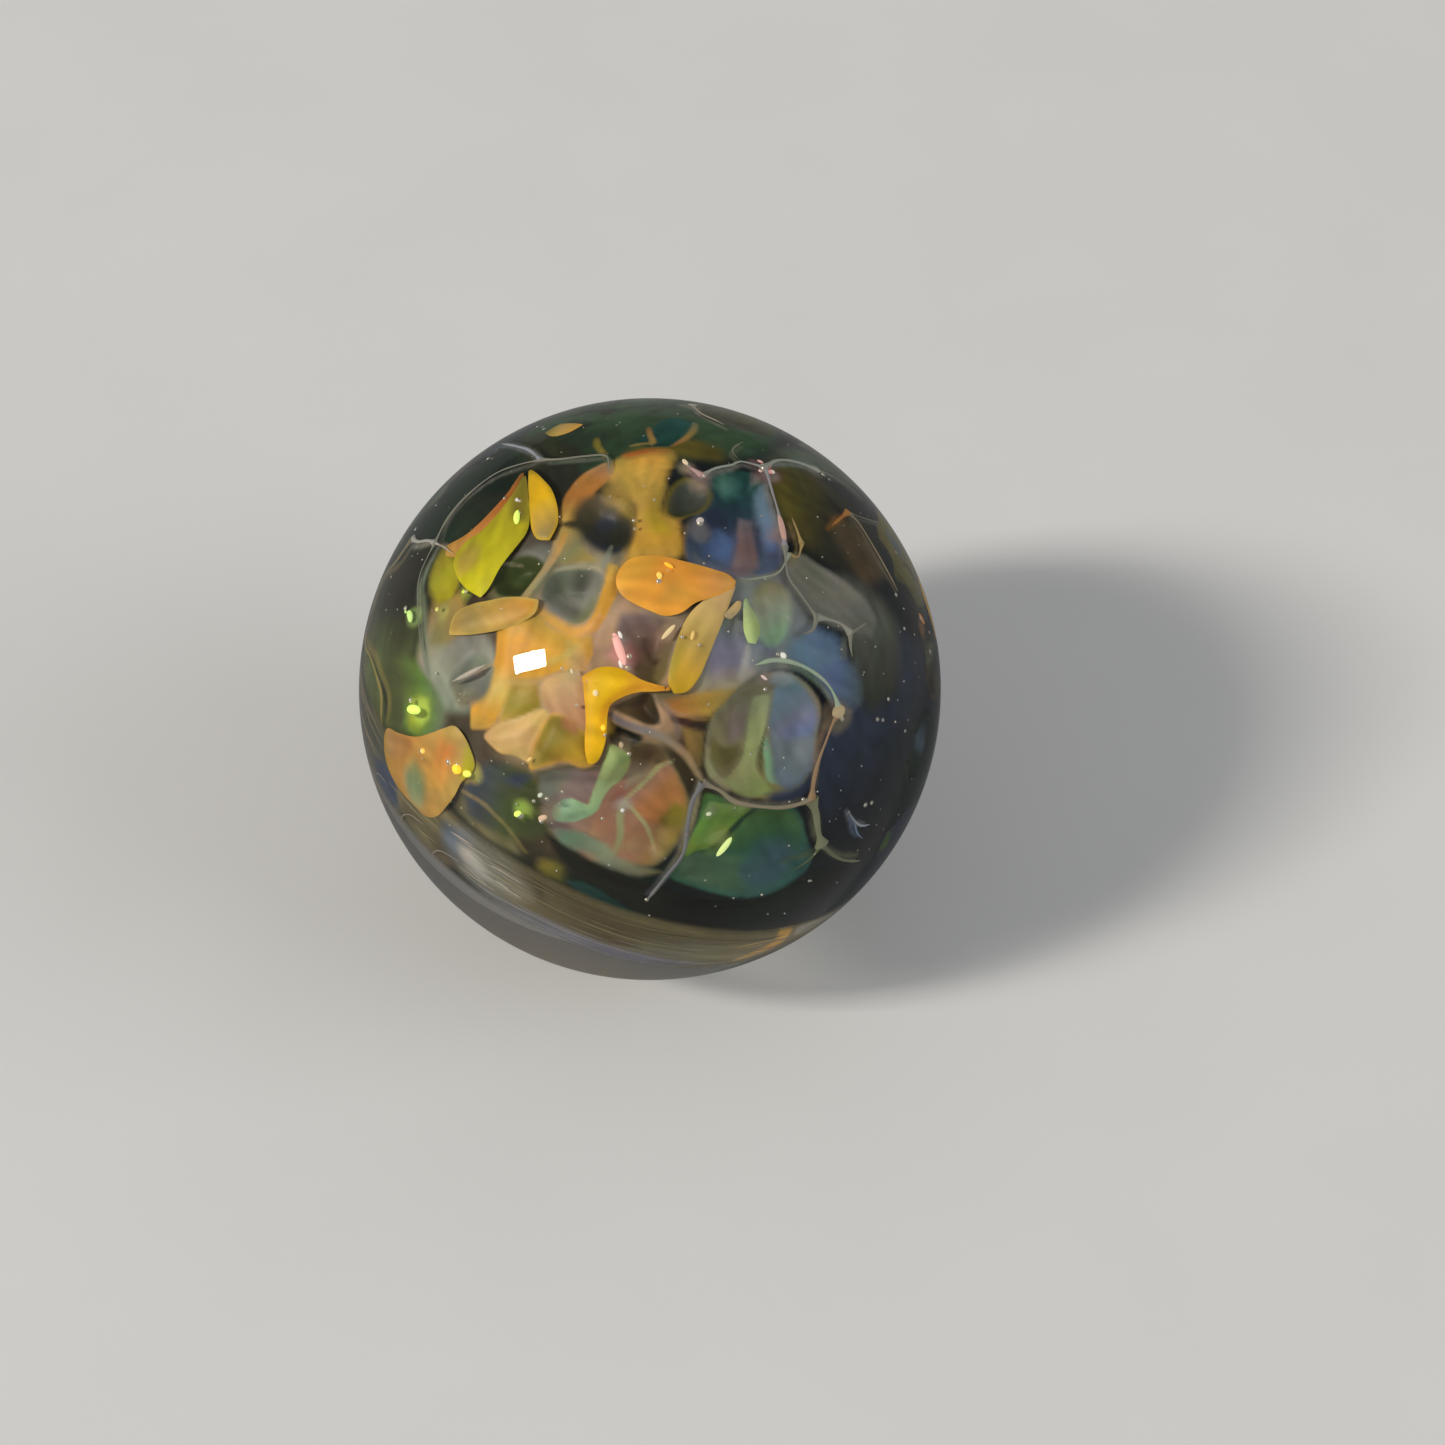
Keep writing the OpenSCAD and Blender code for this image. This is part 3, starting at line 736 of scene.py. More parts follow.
# Petals that stand clear of the dome, with crisp edges: their corners and colours, and where it
# differs from the rest the colour of their rim, their own depth and patches of other colour.
PETALS = {
    "leaf_left": dict(
        corners=[(285, 47.5), (291, 47), (297, 47.3), (303, 48), (308, 50), (310, 53), (312, 57.5),
                 (314.6, 62.2), (314.8, 64.2), (310, 65.8), (305, 66.4), (300.8, 65.6), (298.5, 62),
                 (298.8, 58), (297, 54.5), (294, 51.2), (290, 48.8)],
        shades=(OLIVE * 0.9, OLIVE * 1.1, mid(OLIVE, LIME), mid(OLIVE, LIME, 0.8), LIME, LIME * 1.05),
        patches=[
            Field([(285, 47.5), (292, 47), (300, 47.7), (305, 49), (303, 51), (297, 51), (291, 49)],
                  (OLIVE * 0.6, OLIVE * 0.8), soft=1.2),
            Field([(300, 60), (304, 59), (307, 62), (306, 66), (301, 65)],
                  (OLIVE * 1.1, mid(OLIVE, HONEY)), soft=1.5)]),
    "leaf_left_edge": dict(
        corners=[(283.5, 47.8), (287.5, 49.6), (291, 51.6), (294, 55), (295.8, 58.5), (296.3, 62),
                 (295, 66.5), (297.5, 67.5), (301, 64.5), (301.3, 60), (300, 56.5), (297.5, 52.8),
                 (294, 50), (289, 48)],
        shades=(RUST * 0.7, mid(RUST, EMBER) * 0.85, RUST, mid(RUST, HONEY)),
        depth=0.934),
    "leaf_gold": dict(
        corners=[(284.5, 46.6), (288.5, 44.8), (292.5, 43.6), (297, 42.6), (302, 42.4), (307.5, 43),
                 (311.3, 44.2), (314.5, 47), (312, 48.8), (309, 49), (303, 48), (297, 47.2), (291, 46.8)],
        shades=(OLIVE, GOLD, GOLD, GOLD, mid(GOLD, HONEY), HONEY * 0.9, KHAKI * 0.9),
        rim=mid(GOLD, OLIVE, 0.4)),
    "leaf_back": dict(
        corners=[(266, 46), (270, 43), (269, 40), (264, 38), (262, 41), (261, 44)],
        shades=(OLIVE * 0.8, HONEY, AMBER)),
    "petal_orange": dict(
        corners=[(335.6, 41.2), (335.2, 38), (338.5, 35), (343, 33.1), (349, 31.7), (355, 30.6), (1, 29.9),
                 (6, 29.6), (10.4, 30.4), (8, 33), (3.8, 35.4), (0, 37.8), (357.5, 41), (354, 43),
                 (350, 43.6), (345, 44.2), (340.5, 44.2), (337.3, 43)],
        shades=(AMBER, mid(AMBER, ORANGE, 0.7), ORANGE, ORANGE, mid(ORANGE, SALMON, 0.3),
                mid(ORANGE, PEACH)),
        rim=mid(AMBER, ORANGE),
        patches=[
            Field([(333, 40), (335, 36), (341, 34), (343, 37), (340, 41)], (AMBER * 0.9, AMBER), soft=1.5),
            Field([(349, 37), (356, 36), (1, 36.5), (357, 39), (352, 41)],
                  (mid(ORANGE, HONEY) * 0.9, mid(ORANGE, AMBER) * 0.9), soft=1.8)]),
    "petal_pale": dict(
        corners=[(10.4, 31), (6.5, 32), (4, 34), (1.5, 37), (0, 39.8), (359.7, 43), (0.6, 47.5), (1.6, 51),
                 (3, 54), (5.2, 55.2), (7.5, 54), (9, 51), (9.4, 47), (9.6, 42.5), (9.9, 38.5)],
        depth=0.936,
        shades=(mid(PEACH, SALMON), PEACH, mid(PEACH, STRAW), mid(STRAW, HONEY), mid(HONEY, GOLD),
                mid(GOLD, OLIVE, 0.4)),
        patches=[
            Field([(359.5, 45), (1.5, 44.5), (3, 49), (3, 53), (1, 51)],
                  (mid(OLIVE, HONEY), mid(OLIVE, LIME, 0.4)), soft=1.2),
            Field([(7, 35), (9.5, 34.6), (9.7, 38), (6, 38)], (mid(PEACH, SALMON), PEACH), soft=1.0)]),
    "star": dict(
        corners=[(345.5, 61), (347.3, 58), (350, 56.3), (353, 55.6), (357, 55.6), (1, 55), (6, 54),
                 (1, 56.4), (358, 57.8), (355.6, 59.9), (354, 62.6), (354.6, 64.8), (356, 67.4),
                 (357, 70.3), (357, 73.6), (355.8, 74.6), (354, 72.6), (350.9, 67.2), (348, 63.6)],
        shades=(mid(GOLD, ORANGE), GOLD, GOLD, mid(GOLD, ORANGE), mid(GOLD, ORANGE), GOLD),
        patches=[
            Field([(355, 60.5), (358.5, 57.2), (3, 55.4), (6, 54.2), (2, 54.6), (356.5, 56.8),
                   (353.6, 60.5), (352.6, 64), (354.5, 67)],
                  (mid(GOLD, EMBER, 0.4), mid(ORANGE, EMBER, 0.4)), soft=0.7),
            Field([(348, 60), (352, 58.4), (352, 62), (351, 65), (349, 63)],
                  (mid(GOLD, SUN, 0.4), GOLD), soft=1.2)]),
    "leaf_upper": dict(
        corners=[(315, 74), (312.8, 70.5), (314.3, 66.5), (317, 63), (319.5, 60), (322.5, 57.5),
                 (326, 55.5), (327.6, 57.5), (327, 60.5), (324.5, 64.5), (321, 68.5), (318, 71.5)],
        shades=(HONEY * 0.9, mid(HONEY, KHAKI), HONEY, mid(HONEY, RUST), AMBER * 0.8),
        rim=mid(STRAW, HONEY)),
    "petal_low": dict(
        corners=[(311.9, 101.3), (316, 98.6), (321, 95), (324.3, 91), (326.5, 87.8), (328.5, 85.5),
                 (331, 85.5), (333.5, 86.5), (336.2, 88.8), (336.3, 91), (335.3, 94), (335, 98),
                 (334.1, 102), (332.5, 106.5), (329.5, 109.3), (325.5, 109.8), (321.5, 110.3),
                 (317.5, 110), (314.3, 108.5), (312, 105)],
        shades=(mid(RUST, OLIVE), mid(RUST, HONEY, 0.3) * 0.9, mid(RUST, HONEY) * 0.9, HONEY * 0.9,
                HONEY * 0.95),
        patches=[
            Field([(323, 99), (326.5, 100), (328.5, 104), (328, 108.5), (324.5, 110), (321.5, 105)],
                  (mid(TEAL, OLIVE, 0.7), mid(TEAL, OLIVE), mid(TEAL, HONEY)), soft=1.8),
            Field([(312, 101), (316, 98.4), (321, 95), (321, 99), (318, 103), (314, 106)],
                  (mid(RUST, KHAKI), RUST * 0.8), soft=1.4),
            Field([(327, 90), (331, 88.5), (332, 93), (332, 99), (329, 101), (327, 96)],
                  (mid(RUST, EMBER), mid(HONEY, AMBER) * 0.9), soft=2.0),
            Field([(332.5, 86), (336.6, 88.6), (336.6, 91.5), (335, 94), (334, 91), (333.5, 88.5)],
                  (mid(OLIVE, LIME), LIME * 0.9), soft=0.8)]),
    "leaf_pea": dict(
        corners=[(14.3, 32), (17, 34), (20, 36), (21.8, 38.5), (21.2, 41), (18.8, 41.2), (16.8, 39.3),
                 (15.6, 36.8), (14.6, 34.2)],
        shades=(mid(PEA, MINT), mid(PEA, MILK, 0.2), PEA, mid(PEA, MILK, 0.15))),
    "leaf_flame": dict(corners=[(9, 38), (13, 33), (14, 35), (12, 38)], shades=(SAND, PEACH)),
}

# Pale threads where the cells meet, by their width in millimetres, their way points and their tint.
THREADS = [
    (0.20, [(283, 44), (275, 47.5), (271, 50.5), (266, 54.5), (262, 58)], mid(MILK, SLATE)),
    (0.15, [(283, 44), (281.5, 49), (281, 54), (283.5, 60), (287, 65), (292, 69)], FOG),
    (0.14, [(283, 44), (285.5, 40), (287, 35), (289, 31), (298, 31)], FOG),
    (0.22, [(292, 69), (289, 71), (286, 74), (282, 76.5)], mid(FOG, MILK)),
    (0.34, [(282, 76.5), (283, 82), (281, 88), (283, 92), (285.5, 95), (287, 98.5)],
     mid(KHAKI, UMBER) * 1.1),
    (0.34, [(287, 98.5), (291, 98.5), (296, 96.5), (302, 96), (307, 97), (310, 102)], mid(OLIVE, KHAKI)),
    (0.10, [(292, 69), (296, 66.8), (300.5, 65)], mid(SAND, MILK)),
    (0.10, [(292, 69), (297, 74.5), (303, 77), (308, 79), (313, 81)], SMOKE * 1.3),
    (0.24, [(323, 79), (325, 75.5), (327, 71.5)], mid(SAND, MILK, 0.6)),
    (0.22, [(18, 69), (22, 69.5), (26, 71), (33, 71), (38, 70.5), (43, 69)], mid(FOG, SAND)),
    (0.24, [(18, 69), (17.5, 73), (18.5, 78), (20, 84), (19, 90), (18, 97)], mid(LILAC, FOG) * 0.9),
    (0.25, [(43, 69), (42.5, 65), (43, 61), (44.5, 57), (46, 54), (48, 52)], mid(SAND, SALMON) * 0.8),
    (0.26, [(48, 52), (46, 48.5), (43, 46), (38, 44), (34, 43.2), (30, 43), (26, 43.5), (22, 45)],
     mid(MINT, MILK, 0.5)),
    (0.38, [(43, 69), (45, 72), (47, 76), (49, 79)], mid(KHAKI, SAGE)),
    (0.26, [(49, 79), (52.5, 81.5), (57, 84), (63, 86)], mid(KHAKI, SAGE) * 0.7),
    (0.16, [(49, 79), (47.5, 82), (44, 85)], mid(KHAKI, FIR)),
    (0.16, [(54, 72.5), (56, 74.5), (59, 76.5), (62, 77)], mid(SLATE, MILK, 0.4)),
    (0.12, [(56, 74.5), (58.5, 78), (61, 80)], SLATE),
    (0.08, [(308.6, 117), (310, 115.2), (312.5, 114), (316, 113.5)], FOG),
    (0.09, [(321, 119.5), (322.5, 116), (325.5, 113), (330, 111.5)], mid(FOG, SAND)),
    (0.08, [(333, 118.5), (334.2, 115.8), (336.5, 114), (340, 113.2)], FOG),
    (0.16, [(0, 0), (290, 5), (304, 7), (310, 11), (316, 14.5)], mid(SAGE, MILK, 0.5)),
    (0.20, [(316, 14.5), (308, 15.5), (302, 16.5)], mid(ROSE, MILK, 0.5)),
    (0.12, [(290, 5), (268, 7), (250, 7.5), (226, 8.5)], mid(KHAKI, SAGE)),
    (0.24, [(0, 0), (165, 5), (152, 10), (142, 15)], mid(SAGE, MILK)),
    (0.12, [(142, 15), (138, 22), (130, 27)], FOG),
    (0.20, [(223, 28), (226, 25), (229, 21), (225, 15.5)], mid(SAND, MILK, 0.4)),
    (0.12, [(223, 28), (210, 30), (198, 31), (186, 30)], FOG),
    (0.18, [(0, 0), (28, 6), (30, 11), (31, 16), (31, 20)], mid(LILAC, MILK, 0.5)),
    (0.16, [(31, 20), (31, 26), (36, 29.5), (42, 34)], FOG),
    (0.14, [(43, 13), (43, 16), (43, 19)], mid(SAND, HONEY)),
    (0.12, [(43, 19), (38, 22), (33, 21.5)], mid(SAND, HONEY)),
    (0.13, [(33, 21.5), (29, 24.5), (25, 26.5), (15, 29), (11, 29.5)], mid(SAGE, MILK, 0.3)),
    (0.24, [(42, 34), (47, 34.5), (52, 35.5), (55, 37.5)], mid(FOG, MILK, 0.3)),
    (0.16, [(55, 37.5), (59, 37), (64, 36.5)], FOG),
    (0.16, [(55, 37.5), (54, 40), (54, 42)], FOG),
    (0.16, [(42, 34), (40, 36.5), (36, 37.5)], FOG),
    (0.20, [(78, 17), (92, 17.5), (105, 19)], RUST),
    (0.14, [(105, 19), (103, 22), (98, 25), (93, 30), (90, 36)], SAND * 0.8),
    (0.10, [(105, 19), (112, 24), (120, 30)], FOG * 0.7),
]

# Glowing beads drawn out long, painted highlights of bubbles and a few knots: by width, way points and
# tint.
PAINTED_GLINTS = [
    (0.42, [(300, 49.9), (302, 50.5), (304.3, 51)], GLOW),
    (0.22, [(295.5, 49.6), (297, 49.4)], MILK),
    (0.26, [(310.2, 66.2), (311, 66.6)], mid(GLOW, LIME)),
    (0.50, [(301.5, 80), (303, 79.8), (304.5, 80.2)], mid(GLOW, MINT)),
    (0.20, [(300.6, 80.8), (301.4, 80.4)], mid(GLOW, MINT)),
    (0.60, [(316.4, 92), (318, 90.6), (319.8, 89.2)], GLOW),
    (0.66, [(332.6, 93), (334.2, 91.4)], SUN),
    (0.44, [(335, 92), (336.6, 90.6)], mid(GLOW, SUN, 0.4)),
    (0.36, [(324, 96), (325, 95)], mid(SUN, PEACH)),
    (0.52, [(345.8, 51), (348, 52.2), (350, 53.4), (352.2, 54.8)], mid(ROSE, MILK, 0.2) * 1.3),
    (0.22, [(346.5, 50.2), (348.2, 51)], MILK * 1.2),
    (0.20, [(350.5, 54.6), (352, 55.6)], MILK * 1.2),
    (0.28, [(357.8, 43.6), (357.2, 45.3), (356.6, 47.2)], mid(PEACH, MILK, 0.3)),
    (0.22, [(3, 43), (3.5, 44.8)], mid(STRAW, PEACH)),
    (0.36, [(29, 41.6), (30.5, 42.6)], mid(MINT, MILK, 0.9) * 1.2),
    (0.40, [(27.8, 78.2), (27.2, 80.5), (26.5, 82.8)], mid(GLOW, MILK, 0.4)),
    (0.38, [(348, 92.2), (348.8, 90.6)], GLOW),
    (0.36, [(352.4, 89.8), (353.6, 88.2)], mid(SALMON, MILK, 0.3)),
    (0.26, [(350.4, 85.6), (350.8, 84.4)], mid(MINT, MILK, 0.7)),
    (0.18, [(345.3, 80.6), (345.7, 79.4)], PEACH),
    (0.18, [(24, 46.6), (26, 47.2)], mid(ROSE, MILK, 0.7)),
    (0.62, [(300, 1.0), (120, 1.3)], shade(0.54, 0.31, 0.30)),
    (0.26, [(330, 1.8), (352, 2.2)], mid(ROSE, MILK)),
    (0.30, [(20, 1.0), (80, 1.8)], ROSE),
    (0.24, [(210, 1.6), (240, 2.4)], mid(ROSE, MILK, 0.3)),
    (0.40, [(30.2, 12.5), (31, 16), (31.2, 19.5)], mid(ROSE, FOG, 0.6)),
    (0.34, [(345, 36.6), (347, 37.4)], mid(SUN, PEACH)),
    (0.24, [(344.5, 34.4), (348, 34.2)], mid(SUN, ORANGE)),
    (0.28, [(308, 73), (308.9, 73.4)], mid(PEA, SUN, 0.3)),
    (0.20, [(342.6, 61), (343.6, 61.6)], mid(STRAW, MILK)),
    (0.34, [(349.5, 61.6), (350.5, 62.6)], mid(SUN, MILK, 0.6)),
    (0.30, [(354.6, 66.4), (355.4, 67.4)], SUN),
    (0.26, [(5.4, 79.3), (6, 79.9)], MILK),
    (0.28, [(359.4, 67.6), (0.2, 68.6)], SAND),
    (0.34, [(60, 1.2), (100, 2.0)], mid(ROSE, MILK, 0.8)),
    (0.50, [(221, 28), (225, 27.6)], mid(SAND, MILK, 0.5)),
    (0.40, [(140, 15.4), (143, 14.6)], mid(SAND, MILK, 0.5)),
    (0.50, [(341.5, 22.4), (345, 22.8)], mid(MAUVE, MILK, 0.6)),
    (0.95, [(46.6, 51), (48.6, 53)], SAND * 0.85),
    (0.44, [(315.4, 14.2), (317, 14.8)], mid(ROSE, MILK, 0.5)),
    (0.34, [(97, 44), (98, 47)], RUST * 0.7),
    (0.30, [(296.5, 16.6), (303, 16.2)], mid(PEACH, MILK)),
    (0.26, [(21, 74.8), (22, 74.2)], mid(PEA, MILK, 0.5)),
]

# The far side of the dome: cells by the turn and tilt of their middles, and their colours.
FAR_CELLS = [
    (75, 48, (SMOKE * 0.4, PINE)), (66, 66, (MIDNIGHT, NAVY * 0.8)), (84, 68, (INK, PINE)),
    (75, 88, (NAVY * 0.8, INK)), (98, 55, (PINE, UMBER * 0.6)), (102, 80, (MIDNIGHT * 1.2, TEAL * 0.5)),
    (118, 40, (OLIVE * 0.6, MOSS)), (122, 63, (NAVY, SLATE * 0.5)), (128, 88, (MOSS, GRASS * 0.5)),
    (142, 46, (PINE, FIR)), (146, 74, (TEAL * 0.6, LAGOON)), (155, 97, (UMBER, RUST * 0.7)),
    (162, 33, (SAGE * 0.5, MOSS)), (168, 57, (UMBER * 0.7, OLIVE * 0.6)), (172, 82, (PINE, FIR)),
    (188, 42, (MOSS, PINE)), (190, 66, (LAGOON, TEAL * 0.7)), (192, 98, (NAVY, DENIM * 0.5)),
    (205, 22, (MOSS, OLIVE * 0.5)), (208, 84, (OLIVE * 0.6, UMBER)), (213, 52, (PINE, MOSS)),
    (222, 70, (MIDNIGHT, SLATE * 0.5)), (232, 94, (FIR, TEAL * 0.6)), (236, 38, (MOSS, FIR)),
    (238, 56, (FIR, PINE)), (244, 76, (MOSS, OLIVE * 0.7)), (256, 62, (INK, NAVY * 0.7)),
    (258, 92, (PINE, MOSS * 0.8)), (268, 76, (PINE, FIR * 0.7)), (102, 98, (PINE, MOSS)),
]

# More middles round the far cells, which only shape the walls of the outer ones.
FAR_NEIGHBOURS = [(80, 22), (110, 16), (150, 10), (260, 28), (240, 14), (42, 62), (46, 84)]

# Petals on the far side: turn and tilt of the middle, length, width, the way they point, how much
# they bend, and their colours.
FAR_PETALS = [
    (118, 53, 19, 9, 20, 0.18, (AMBER, GOLD, HONEY)), (124, 57, 9, 4, 100, -0.1, (RUST, EMBER, RUST)),
    (131, 73, 21, 8, 70, 0.22, (RUST, ORANGE, AMBER)), (137, 80, 11, 7, 10, 0.1, (GOLD, AMBER, HONEY)),
    (151, 57, 18, 9, 130, -0.15, (OLIVE, LIME, LIME)), (158, 63, 14, 3, 140, 0.2, (RUST, ORANGE)),
    (176, 70, 22, 9, 40, 0.12, (STRAW, PEACH, AMBER)), (184, 76, 10, 7, 120, 0.0, (SALMON, PEACH)),
    (197, 52, 17, 7, 100, 0.25, (GOLD, AMBER, RUST)), (180, 93, 14, 6, 15, -0.2, (MINT, PEA, SAGE)),
    (224, 60, 17, 8, 60, 0.15, (AMBER, ORANGE, STRAW)), (232, 65, 8, 4, 150, 0.1, (OLIVE, HONEY)),
    (214, 88, 18, 7, 150, 0.2, (AMBER, HONEY, OLIVE)), (249, 70, 12, 5, 110, -0.2, (RUST, HONEY, GOLD)),
    (147, 96, 17, 6, 30, 0.15, (GOLD, AMBER, EMBER)), (162, 43, 11, 5, 10, 0.2, (HONEY, AMBER)),
    (240, 89, 12, 6, 20, 0.1, (LIME, GOLD)), (109, 90, 13, 6, 0, 0.1, (DENIM, SLATE, TEAL)),
    (203, 74, 8, 6, 50, 0.0, (ORANGE, EMBER)), (166, 86, 7, 5, 120, 0.1, (LIME, OLIVE)),
    (104, 68, 11, 5, 60, 0.2, (TEAL, MINT, SAGE)), (192, 37, 9, 4, 80, 0.1, (OLIVE, HONEY)),
    (262, 84, 10, 5, 60, 0.2, (HONEY, RUST)), (122, 98, 10, 5, 170, 0.1, (HONEY, STRAW)),
]

# Streaks drawn out in the clear glass under the dome's edge: turns, tilts, how many, width and tint.
WISPS = [
    ((345, 55), (104.5, 108), 6, 0.10, mid(KHAKI, UMBER)),
    ((345, 50), (108, 112), 6, 0.08, KHAKI),
    ((340, 48), (114.5, 118.5), 7, 0.09, mid(LILAC, MILK, 0.3)),
    ((5, 40), (112, 116), 6, 0.06, mid(FOG, SAND)),
    ((336, 356), (106, 115), 12, 0.08, mid(SAND, MILK, 0.6)),
    ((314, 334), (104, 115), 6, 0.08, mid(KHAKI, SAND)),
    ((44, 62), (108, 113), 3, 0.08, mid(HONEY, STRAW)),
    ((50, 130), (105, 114), 18, 0.10, mid(SAND, FOG) * 0.8),
    ((125, 215), (104, 113), 18, 0.11, mid(KHAKI, UMBER)),
    ((200, 312), (104, 112), 18, 0.10, mid(SAND, KHAKI) * 0.8),
]

# Patches of the smoky sheet that hangs in the clear glass from the dome's edge.
VEIL = [
    Field([(284, 101), (300, 101), (307, 108), (303, 120), (284, 118)],
          (SOOT * 1.6, SMOKE * 0.45), soft=3),
    Field([(300, 104), (312, 103), (320, 106), (320, 119), (308, 120), (300, 116)],
          (SOOT * 2, SMOKE * 0.7), soft=2),
    Field([(308, 112), (313, 109.5), (319, 110), (320, 116), (313, 119), (309, 117)],
          (NAVY, NAVY * 1.1), soft=1),
    Field([(320, 109), (328, 106), (337, 105), (340, 112), (337, 119), (324, 120)],
          (UMBER * 0.8, KHAKI * 0.6, UMBER), soft=1.8),
    Field([(359, 105), (8, 105.5), (20, 106), (34, 106), (32, 112), (14, 113), (1, 112.5)],
          (mid(KHAKI, UMBER), UMBER * 1.1, KHAKI * 0.8), soft=1.8),
    Field([(22, 110), (36, 107.5), (52, 105), (54, 112), (42, 117), (26, 116)],
          (mid(KHAKI, FOG) * 0.9, mid(FOG, KHAKI, 0.4) * 0.9, KHAKI, SAND * 0.7), soft=1.8),
    Field([(340, 116), (350, 115.5), (4, 114.5), (16, 115), (30, 116), (40, 117), (30, 119.5), (12, 120),
           (355, 120)],
          (SMOKE * 0.8, mid(LILAC, SMOKE), LILAC, LILAC * 0.9), soft=1.8),
    Field([(335, 107), (341, 103.5), (350, 104), (356, 106.5), (359, 110.5), (352, 115), (343, 116),
           (336, 112)],
          (SLATE * 0.7, FOG * 0.8, FOG, mid(FOG, SAND) * 0.9), soft=2.4),
    Field([(339.5, 109), (342, 107), (345.5, 109), (350, 112), (346, 114), (341.5, 112.5)],
          (mid(FOG, MILK, 0.7), MILK * 0.9, mid(FOG, MILK, 0.3)), soft=1.8),
    Field([(52, 103.5), (55.5, 103.5), (57, 107), (57.5, 111), (54, 113.5), (48, 116.5), (51, 112),
           (53.5, 108.5)],
          (mid(AMBER, STRAW), AMBER, STRAW), soft=0.8),
    Field([(57, 104), (66, 103.5), (75, 104.5), (70, 107), (60, 108)], (mid(SAND, MILK), FOG), soft=0.8),
]

# Air bubbles by turn, tilt and seeming width in millimetres.
BUBBLES = [
    (0, 0, 1.1), (316, 14.5, 0.5), (344, 23, 0.6), (303, 16, 0.35), (138, 16, 0.5), (141, 14, 0.3),
    (134, 17, 0.3), (222, 28, 0.5), (218, 29, 0.35), (347, 38, 0.55), (47, 52, 0.7), (49, 53.5, 0.45),
    (30, 43, 0.45), (28, 42, 0.3), (321, 26, 0.25), (325, 32, 0.35), (328, 33, 0.3), (21.5, 74.5, 0.45),
    (18, 97, 0.4), (2, 69, 0.4), (27, 80, 0.35), (61, 55, 0.4), (63, 55.5, 0.35), (59, 72, 0.45),
    (61, 72, 0.4), (66, 52, 0.35), (68, 57, 0.25), (72, 60, 0.3), (297, 49, 0.35), (301, 50, 0.5),
    (293, 52, 0.3), (311, 66, 0.35), (321, 62, 0.25), (300, 80.5, 0.5), (316, 90, 0.5), (324, 96, 0.5),
    (331, 92.5, 0.6), (333, 91.5, 0.5), (349, 91.5, 0.6), (353, 90, 0.45), (352, 85, 0.4), (350, 87, 0.35),
    (354, 82, 0.3), (352, 53, 0.5), (353, 55, 0.35), (341, 62, 0.3), (348, 66, 0.35), (1, 45, 0.35),
    (6, 45, 0.3), (26, 49, 0.35), (3, 83, 0.3), (356, 68, 0.3), (40, 91, 0.3), (50, 88, 0.3),
    (263, 47, 0.4), (261, 48, 0.3), (259, 50, 0.35), (270, 58, 0.45), (279, 76, 0.4), (286, 84, 0.3),
    (277, 70, 0.3), (88, 36, 0.4), (97, 45, 0.5), (95, 52, 0.5), (100, 50, 0.35), (110, 34, 0.3),
    (83, 42, 0.35), (41, 69, 0.35),
]


# ---------------------------------------------------------------- meshes

def even_ball(divisions):
    """Directions and faces of a ball made from a cube whose squares are spread evenly."""
    solid = bmesh.new()
    bmesh.ops.create_cube(solid, size=2)
    bmesh.ops.subdivide_edges(solid, edges=solid.edges[:], cuts=divisions - 1, use_grid_fill=True)
    solid.verts.index_update()
    points = np.array([v.co for v in solid.verts])
    points = np.tan(points * math.pi / 4)
    faces = [[v.index for v in face.verts] for face in solid.faces]
    solid.free()
    return unit(points), faces


def add_object(name, data):
    """A new object in the scene, in the ball's own place."""
    made = bpy.data.objects.new(name, data)
    bpy.context.scene.collection.objects.link(made)
    return made


def add_colours(mesh, name, values):
    """Keeps a colour and a fourth number for each point of a mesh. The number is 1 where none is given."""
    if values.shape[1] == 3:
        values = np.hstack([values, np.ones((len(values), 1))])
    mesh.color_attributes.new(name, "FLOAT_COLOR", "POINT").data.foreach_set("color", values.ravel())


def make_piece(name, points, faces, material, colours=None):
    """A smooth mesh piece in the ball's own place."""
    mesh = bpy.data.meshes.new(name)
    mesh.from_pydata(points.tolist(), [], faces)
    mesh.materials.append(material)
    mesh.polygons.foreach_set("use_smooth", [True] * len(mesh.polygons))
    if colours is not None:
        add_colours(mesh, "glass_colour", colours)
    mesh.update()
    return add_object(name, mesh)


def streaked(points, colours, seed, strength=0.16):
    """Pulls fine streaks and soft clouds through colours, as in glass that was drawn out hot."""
    cloud = ripple(points, 0.35, seed)
    fine = ripple(points + 0.05 * np.stack([cloud, cloud, cloud], 1), 0.09, seed + 1)
    factor = 1 + strength * (0.6 * cloud + 0.4 * fine)
    return np.clip(colours * factor[:, None], 0, 1)


def far_cell(number, middle, meeting):
    """One cell of the far side and two leaves of colour in it, from the points where it meets others."""
    turn, tilt, shades = FAR_CELLS[number]
    across = unit(np.cross(middle, CROWN))
    order = np.argsort(np.arctan2(meeting @ np.cross(middle, across), meeting @ across))
    corners = meeting[order]
    sides = unit(corners + np.roll(corners, -1, axis=0))
    loop = np.stack([corners, sides], 1).reshape(-1, 3)
    pull = 0.12 + 0.26 * np.abs(np.sin(number * 2.3 + np.arange(len(loop)) * 1.9))[:, None]
    inner = unit(middle * pull + loop * (1 - pull))
    bright = mid(shades[-1], (SAGE, HONEY, SLATE, GRASS)[number % 4], 0.35)
    wide = leaf(turn + 2, tilt - 2, 9, 5, 37 * number, 0.2)
    thin = leaf(turn - 3, tilt + 3, 8, 2, 37 * number + 50, 0.3)
    cell = Field(stops_of(inner), shades, rise=-1.0, ramp=4, soft=0.8)
    lobe = Field(wide, (bright, bright * 0.7, shades[0]), soft=1.4)
    return cell, lobe, Field(thin, (shades[-1] * 0.3, INK), soft=1.0)


